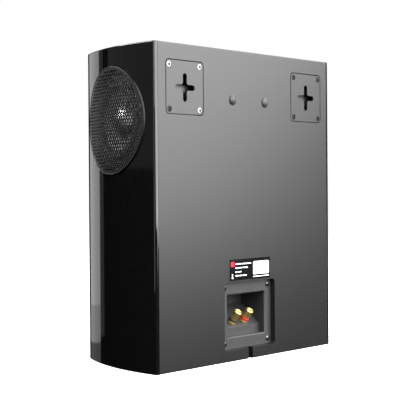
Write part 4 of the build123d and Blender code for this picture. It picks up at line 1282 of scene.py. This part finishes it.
# ------------------------------------------------------------------ back hardware
@dataclass
class WallHardware:
    """Keyhole plates, the flat and domed screw heads, and the rubber plugs."""

    head: float = 3.1 * MM
    sunk: float = 0.05 * MM
    flat_depth: float = 1.8 * MM
    shank_step: float = 1.4 * MM
    recess_depth: float = 1.2 * MM
    recess_floor: float = 0.45 * MM
    floor_share: float = 0.6
    flat_cross_share: float = 1.35
    pan_cross_share: float = 1.2
    pan_rise_share: float = 0.55
    plate_edge: float = 0.4 * MM
    plug_radius: float = 5.4 * MM
    plug_rim: float = 0.6 * MM
    plug_rise: float = 2.4 * MM

    def flat_head(self) -> bmesh.types.BMesh:
        """A countersunk head, from its rim down to the start of its shank.

        Returns:
            The head's mesh.
        """
        r = self.head
        outline = [(0, -self.sunk), (r * 0.9, -self.sunk), (r, -0.16 * MM), (r, -0.4 * MM),
                   (r - self.shank_step, -self.flat_depth), (0, -self.flat_depth)]
        return cross_head(outline, r * self.flat_cross_share, self.recess_depth, -self.sunk)

    def recess_bottom(self) -> bmesh.types.BMesh:
        """A small drum of painted shade that fills the bottom of a flat head's recess.

        Returns:
            The drum's mesh.
        """
        r, low, high = self.head * self.floor_share, -self.recess_depth, -self.recess_floor
        return lathe([(0, low), (r, low), (r, high), (0, high)], 16)

    def pan_head(self) -> bmesh.types.BMesh:
        """A domed head that stands on its seat.

        Returns:
            The head's mesh.
        """
        r = self.head
        h = r * self.pan_rise_share
        outline = [(0, h), (r * 0.35, h * 0.98), (r * 0.65, h * 0.86), (r * 0.88, h * 0.55), (r, h * 0.18),
                   (r, 0), (0, 0)]
        return cross_head(outline, r * self.pan_cross_share, h * 0.7, h)

    def plug(self) -> bmesh.types.BMesh:
        """A domed plug with a shallow skirt below the face of the back.

        Returns:
            The plug's mesh.
        """
        r = self.plug_radius
        outline = [(0, -1 * MM), (r - 0.2 * MM, 0.0), (r, 0.1 * MM), (r, self.plug_rim)]
        return lathe(outline + dome(r, self.plug_rise, self.plug_rim, 12), 48)

    def plates(self) -> None:
        """The two painted steel plates, their edges broken."""
        for node in ("wall_plate_right", "wall_plate_left"):
            plate = soften(copy_of(node, f"{node}_finished"), self.plate_edge, 3)
            dress(plate, FINISHES["satin_painted_board"], "cabinet", [node])

    def seats(self, node: str) -> list[tuple[Vector, Vector]]:
        """Head centre and outward direction of each front or back screw in a CAD node.

        Args:
            node: The CAD node.

        Returns:
            One pair for each screw.
        """
        found = []
        for low, high in solids_of(node):
            middle, size = (low + high) / 2, high - low
            if size.y >= max(size):
                face = high.y if middle.y > 0 else low.y
                out = Vector((0, math.copysign(1.0, middle.y), 0))
                found.append((Vector((middle.x, face, middle.z)), out))
        return found

    def flat_screws(self) -> None:
        """The flat heads: three bright ones in one plate, the others in a dark finish as painted shade, all
        with painted shade in their recesses.
        """
        low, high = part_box("wall_plate_right")
        centre = (low + high) / 2
        seats = [(p + o * self.sunk, o) for p, o in self.seats("flat_head_screws")]
        # which heads stay bright follows where light falls on them; the rest get a dark finish as painted
        # shade
        bright = [(p, o) for p, o in seats if p.y > 0 and p.x > 0 and (p.z > centre.z or p.x < centre.x)]
        dark = [seat for seat in seats if seat not in bright]
        finish = FINISHES["plated_screws"]
        heads = screws("flat_head_screws_plated", bright, self.flat_head(), finish)
        dress(heads, finish, "cabinet", ["flat_head_screws"])
        # the other heads: the same screws in a dark finish, as painted shade
        heads = screws("flat_head_screws_dark", dark, self.flat_head(), SHADED_SCREW_FINISH)
        dress(heads, SHADED_SCREW_FINISH, "cabinet")
        # near-black drums in every recess: painted shade, so that the recesses read deep
        floors = screws("flat_head_recess_floors", seats, self.recess_bottom(), RECESS_SHADOW)
        dress(floors, RECESS_SHADOW, "cabinet")

    def flange_screws(self) -> None:
        """The domed heads that hold the terminal cup."""
        rise = self.head * self.pan_rise_share
        seats = [(p - o * rise, o) for p, o in self.seats("terminal_screws")]
        heads = screws("terminal_screws_crossed", seats, self.pan_head(), DULL_NICKEL)
        dress(heads, DULL_NICKEL, "cabinet", ["terminal_screws"])

    def plugs(self) -> None:
        """The two rubber plugs."""
        low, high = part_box("insert_plugs")
        y_back = high.y - self.plug_rim - self.plug_rise
        build = bmesh.new()
        for x in (low.x + self.plug_radius, high.x - self.plug_radius):
            one = self.plug()
            one.transform(back_seat(x, y_back, (low.z + high.z) / 2))
            merge(build, one)
        piece = smooth(piece_from("insert_plugs_domed", build), math.radians(50))
        dress(piece, FINISHES["black_rubber"], "cabinet", ["insert_plugs"])

    def build(self) -> None:
        """Make plates, screws and plugs."""
        self.plates()
        self.flat_screws()
        self.flange_screws()
        self.plugs()


@dataclass
class RatingLabel:
    """The label: a black film with plain bars, a plain square and a blank white panel.

    Places on the film are in millimetres: left, top, width and height, then the corner's radius.
    """

    ink: float = 0.04 * MM
    film_corner: float = 1.0 * MM
    bar_left: float = 9.0
    bar_height: float = 1.15
    bar_gap: float = 0.8
    bar_corner: float = 0.35
    panel: tuple[float, ...] = (38.0, 3.7, 26.4, 14.0, 1.4)
    mark: tuple[float, ...] = (1.9, 2.5, 5.4, 5.4, 0.4)

    def bars(self) -> list[tuple[float, float, float, float]]:
        """Left, top, width and height of each white bar, from the film's upper left corner.

        Returns:
            One row of millimetres for each bar.
        """
        rows = ((4.6, (5.2, 3.6, 7.8, 6.4)), (8.8, (4.4, 6.2, 8.0)), (13.0, (3.0, 5.6)),
                (17.1, (6.0, 4.2, 6.4)))
        bars = []
        for top, words in rows:
            left = self.bar_left
            for word in words:
                bars.append((left, top, word, self.bar_height))
                left += word + self.bar_gap
        bars += [(3.6, 15.6, 1.3, 3.0), (2.9, 19.3, 2.7, 1.2), (37.8, 19.6, 26.6, 0.9)]
        return bars

    def flat(self, build: bmesh.types.BMesh, outline: Profile) -> None:
        """Add one thin film of ink to a mesh that stands on the label."""
        merge(build, prism(outline, 0, self.ink))

    def build(self) -> None:
        """Make the film and its inks."""
        low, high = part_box("rating_label")
        width, height = high.x - low.x, high.z - low.z
        film = prism(rounded_rectangle(width, height, self.film_corner), 0, high.y - low.y)
        middle = (low.z + high.z) / 2
        base = piece_from("rating_label_film", film, back_seat(0, low.y, middle))
        smooth(base)
        dress(base, FINISHES["label_film"], "cabinet", ["rating_label"])
        top = back_seat(0, high.y, middle)

        def place(left: float, down: float, wide: float, tall: float, corner: float) -> list[Point]:
            """A rounded rectangle on the film, from millimetres off its upper left corner.

            Args:
                left: Its left edge.
                down: Its upper edge.
                wide: Its width.
                tall: Its height.
                corner: Radius of its corners.

            Returns:
                The outline's points, in metres.
            """
            x = left * MM + wide * MM / 2 - width / 2
            y = height / 2 - down * MM - tall * MM / 2
            return [(x + a, y + b) for a, b in rounded_rectangle(wide * MM, tall * MM, corner * MM, 4)]

        white = bmesh.new()
        for bar in self.bars():
            self.flat(white, place(*bar, self.bar_corner))
        self.flat(white, place(*self.panel))
        red = bmesh.new()
        self.flat(red, place(*self.mark))
        for name, build, finish in (("rating_label_white_ink", white, WHITE_INK),
                                    ("rating_label_red_ink", red, RED_INK)):
            print_piece = piece_from(name, build, top)
            smooth(print_piece)
            dress(print_piece, finish, "cabinet")


@dataclass
class Terminals:
    """The moulded cup and the two binding posts on its sloped shelf."""

    tilt: float = 50.0
    collar_radius: float = 4.5 * MM
    collar_height: float = 3.0 * MM
    ring_radius: float = 4.6 * MM
    ring_height: float = 2.4 * MM
    knob_radius: float = 4.1 * MM
    cap_radius: float = 4.4 * MM
    neck_radius: float = 3.6 * MM
    knob_height: float = 11.0 * MM
    stud_radius: float = 2.0 * MM
    stud_top: float = 12.5 * MM
    gap: float = 0.05 * MM
    ridges: int = 28
    knurl: float = 0.32 * MM
    cap_height: float = 4.4 * MM
    cap_round: float = 1.3 * MM

    def seat(self, colour: str) -> Matrix:
        """A post's own seat on the shelf, worked out from its clamping ring.

        Args:
            colour: "red" or "black".

        Returns:
            The seat's matrix, with local Z along the post.
        """
        low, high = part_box(f"post_ring_{colour}")
        tilt = math.radians(self.tilt)
        axis = Vector((0, math.cos(tilt), math.sin(tilt)))
        middle = (low + high) / 2
        back = self.collar_height + self.gap + self.ring_height / 2
        return Seat(middle - axis * back, Vector((1, 0, 0)), axis).matrix

    def knob(self) -> bmesh.types.BMesh:
        """The gold knob: a knurled barrel under a smooth rounded cap.

        Returns:
            The knob's mesh.
        """
        low = self.collar_height + self.ring_height + 2 * self.gap
        top = low + self.knob_height
        shoulder = top - self.cap_height
        cap = self.cap_radius
        barrel = [low + 0.15 * MM + (shoulder - 1.5 * MM - low) * i / 6 for i in range(7)]
        outline = [(0, low), (self.knob_radius - 0.35 * MM, low)] + [(self.knob_radius, z) for z in barrel]
        outline += [(self.neck_radius, shoulder - 0.9 * MM), (self.neck_radius, shoulder - 0.3 * MM),
                    (cap - 0.5 * MM, shoulder)]
        outline += [(cap, shoulder + 0.6 * MM)]
        outline += arc((cap - self.cap_round, top - self.cap_round), self.cap_round, 0, 80, 6)
        outline += [(2.2 * MM, top), (1.8 * MM, top - 0.25 * MM), (0, top - 0.3 * MM)]

        def knurled(radius: float, height: float, angle: float) -> float:
            """Cut fine straight ridges into the barrel.

            Args:
                radius: The outline's radius.
                height: Height on the knob.
                angle: Angle round the knob, in radians.

            Returns:
                The radius there.
            """
            on_barrel = abs(radius - self.knob_radius) < 0.01 * MM and barrel[0] <= height <= barrel[-1]
            return radius - self.knurl * (0.5 - 0.5 * math.cos(self.ridges * angle)) if on_barrel else radius

        return lathe(outline, self.ridges * 5, closed=False, shape=knurled)

    def post(self, colour: str) -> None:
        """Make one post's stud with collar, clamping ring and knob.

        Args:
            colour: "red" or "black".
        """
        seat = self.seat(colour)
        gold = FINISHES["gold_plated_brass"]
        collar = self.collar_radius
        stud = [(0, -8 * MM), (self.stud_radius, -8 * MM), (self.stud_radius, 0), (collar, 0),
                (collar, self.collar_height), (self.stud_radius, self.collar_height),
                (self.stud_radius, self.stud_top), (0, self.stud_top)]
        turned = lathe(stud, 64, closed=False)
        piece = soften(piece_from(f"post_stud_{colour}_turned", turned, seat), 0.35 * MM, 3)
        dress(piece, gold, "cabinet", [f"post_stud_{colour}"])
        low = self.collar_height + self.gap
        inner = self.stud_radius + self.gap
        band = [(inner, low), (self.ring_radius, low), (self.ring_radius, low + self.ring_height),
                (inner, low + self.ring_height)]
        piece = soften(piece_from(f"post_ring_{colour}_turned", lathe(band, 64), seat), 0.4 * MM, 3)
        dress(piece, FINISHES[f"{colour}_plastic"], f"{colour}_clamp",
              [f"post_ring_{colour}"])
        piece = smooth(piece_from(f"post_knob_{colour}_knurled", self.knob(), seat), math.radians(50))
        dress(piece, gold, f"{colour}_knob", [f"post_knob_{colour}"])

    def build(self) -> None:
        """Make the cup and both posts."""
        cup = soften(copy_of("terminal_cup", "terminal_cup_finished"), 0.35 * MM, 3)
        dress(cup, FINISHES["black_abs"], "cabinet", ["terminal_cup"])
        for colour in ("red", "black"):
            self.post(colour)


def dress_frame_nodes() -> None:
    """Give every CAD node that still shows its procedural finish."""
    for node, piece in frame["nodes"].items():
        if not piece.hide_render:
            for slot in piece.material_slots:
                slot.material = SPECIAL.get(node, FINISHES[SLOT_OF[node]]).material()


# ------------------------------------------------------------------ studio
@dataclass
class Softbox:
    """One rectangular studio light."""

    name: str
    place: tuple[float, float, float]
    aim: tuple[float, float, float]
    size: Point
    power: float

    def build(self) -> None:
        """Hang the light."""
        light = bpy.data.lights.new(self.name, "AREA")
        light.shape = "RECTANGLE"
        light.size, light.size_y = self.size
        light.energy = self.power
        lamp = link(self.name, light)
        lamp.location = self.place
        lamp.rotation_euler = (Vector(self.aim) - Vector(self.place)).to_track_quat("-Z", "Y").to_euler()


@dataclass
class Studio:
    """A white floor and surround, soft lights and a level camera just above the speaker's middle."""

    camera_place: tuple[float, float, float] = (0.9005, 0.8442, 0.1854)
    view: tuple[float, float, float] = (-0.7337, -0.6794, 0.0)
    lens: float = 95.19
    shift_y: float = -0.0512
    roll: float = -0.007
    floor_side: float = 12.0
    floor_gap: float = 0.2 * MM

    def camera(self) -> None:
        """Set up the camera."""
        data = bpy.data.cameras.new("camera")
        data.lens = self.lens
        data.sensor_width = 36.0
        data.shift_y = self.shift_y
        data.clip_start, data.clip_end = 0.05, 50.0
        camera = link("camera", data)
        turn = Vector(self.view).to_track_quat("-Z", "Y").to_matrix() @ Matrix.Rotation(self.roll, 3, "Z")
        camera.location = self.camera_place
        camera.rotation_euler = turn.to_euler()
        bpy.context.scene.camera = camera

    def floor(self) -> None:
        """Lay the plain pale floor under a plain pale surround."""
        half = self.floor_side / 2
        build = bmesh.new()
        build.faces.new([build.verts.new((x, y, -self.floor_gap)) for x, y in
                         ((-half, -half), (half, -half), (half, half), (-half, half))])
        floor = piece_from("studio_floor", build)
        paper = bpy.data.materials.new("white_seamless_paper")
        paper.use_nodes = True
        shader = paper.node_tree.nodes["Principled BSDF"]
        shader.inputs["Base Color"].default_value = linear("#F2F2F2")
        shader.inputs["Roughness"].default_value = 0.9
        shader.inputs["Emission Color"].default_value = (1.0, 1.0, 1.0, 1.0)
        shader.inputs["Emission Strength"].default_value = 1.0
        floor.data.materials.append(paper)
        floor.visible_glossy = False
        floor.visible_diffuse = False
        world = bpy.data.worlds.new("white_surround")
        world.use_nodes = True
        sky = world.node_tree.nodes["Background"]
        sky.inputs["Color"].default_value = (1.0, 1.0, 1.0, 1.0)
        sky.inputs["Strength"].default_value = 1.0
        world.cycles_visibility.glossy = False
        world.cycles_visibility.diffuse = False
        bpy.context.scene.world = world
        bpy.context.scene.view_settings.view_transform = "Standard"

    def lights(self) -> None:
        """Hang the softboxes."""
        boxes = (
            # very wide key high up behind the speaker: its sheen falls off down and across the satin back
            Softbox("key_softbox", (-0.16, 0.994, 0.721), (0.0, 0.07, -0.2), (2.417, 1.97), 127.0),
            # tall strip seen in the curved side's front edge
            Softbox("strip_softbox", (-0.02, -1.35, 0.435), (0.12, 0.0, 0.435), (0.40, 1.03), 1.60),
            # its dimmer foot, so that the reflection fades out above the floor
            Softbox("strip_foot", (-0.02, -1.35, -0.122), (0.12, 0.0, -0.122), (0.40, 0.085), 0.09),
            Softbox("strip_toe", (-0.02, -1.35, -0.232), (0.12, 0.0, -0.232), (0.40, 0.135), 0.043),
            # narrow dimmer strip beside it
            Softbox("second_strip", (0.24, -1.35, 0.40), (0.12, 0.0, 0.40), (0.125, 1.1), 0.06),
            # wide dim wall that keeps the gloss side from going dead black
            Softbox("side_wall", (1.30, -1.50, 0.90), (0.12, 0.0, 0.20), (1.8, 1.4), 1.2),
            # soft wall facing the side grille, which lights the driver behind it
            Softbox("grille_wall", (1.60, -0.15, 0.35), (0.13, 0.0, 0.25), (1.3, 1.2), 5.0),
            # high fill that comes through the grille's holes from above
            Softbox("grille_fill", (1.09, -1.37, 1.14), (0.13, 0.0, 0.25), (1.0, 0.4), 32.0),
            # small fill from the camera's side, which reaches into the cup
            Softbox("front_fill", (1.6, 0.7, 0.9), (0.1, 0.05, 0.18), (0.5, 0.5), 6.0),
        )
        for box in boxes:
            box.build()

    def build(self) -> None:
        """Set up camera, floor and lights."""
        self.camera()
        self.floor()
        self.lights()


TREES: dict[str, bpy.types.NodeTree] = {}


def main() -> None:
    """Build the speaker piece by piece, then its studio."""
    logging.basicConfig(level=logging.INFO, format="%(name)s: %(message)s")
    TREES.update(screws=screw_tree(), perforation=perforation_tree())
    cabinet = Cabinet()
    cabinet.build()
    SideGrille(cabinet).build()
    side_face = cabinet.recess_depth - SIDE_BASKET_FLANGE
    for side, sign in (("right", 1), ("left", -1)):
        seat = cabinet.side_seat(sign, side_face)
        ConeDriver(f"side_driver_{side}", f"side_{side}_moving", seat, opening=40.5 * MM, cone=33.5 * MM,
                   coil=9.7 * MM, basket_depth=22 * MM, cap_overlap=9 * MM, cap_rise=7.5 * MM).build()
    seat = front_seat(cabinet.y_front, WOOFER_Z)
    ConeDriver("woofer", "woofer_moving", seat, opening=58 * MM, cone=48 * MM, coil=12.7 * MM,
               basket_depth=32 * MM, cap_overlap=7 * MM, cap_rise=7 * MM).build()
    Tweeter().build(cabinet)
    FrontGrille().build()
    WallHardware().build()
    RatingLabel().build()
    Terminals().build()
    dress_frame_nodes()
    Studio().build()


if __name__ == "__main__":
    main()
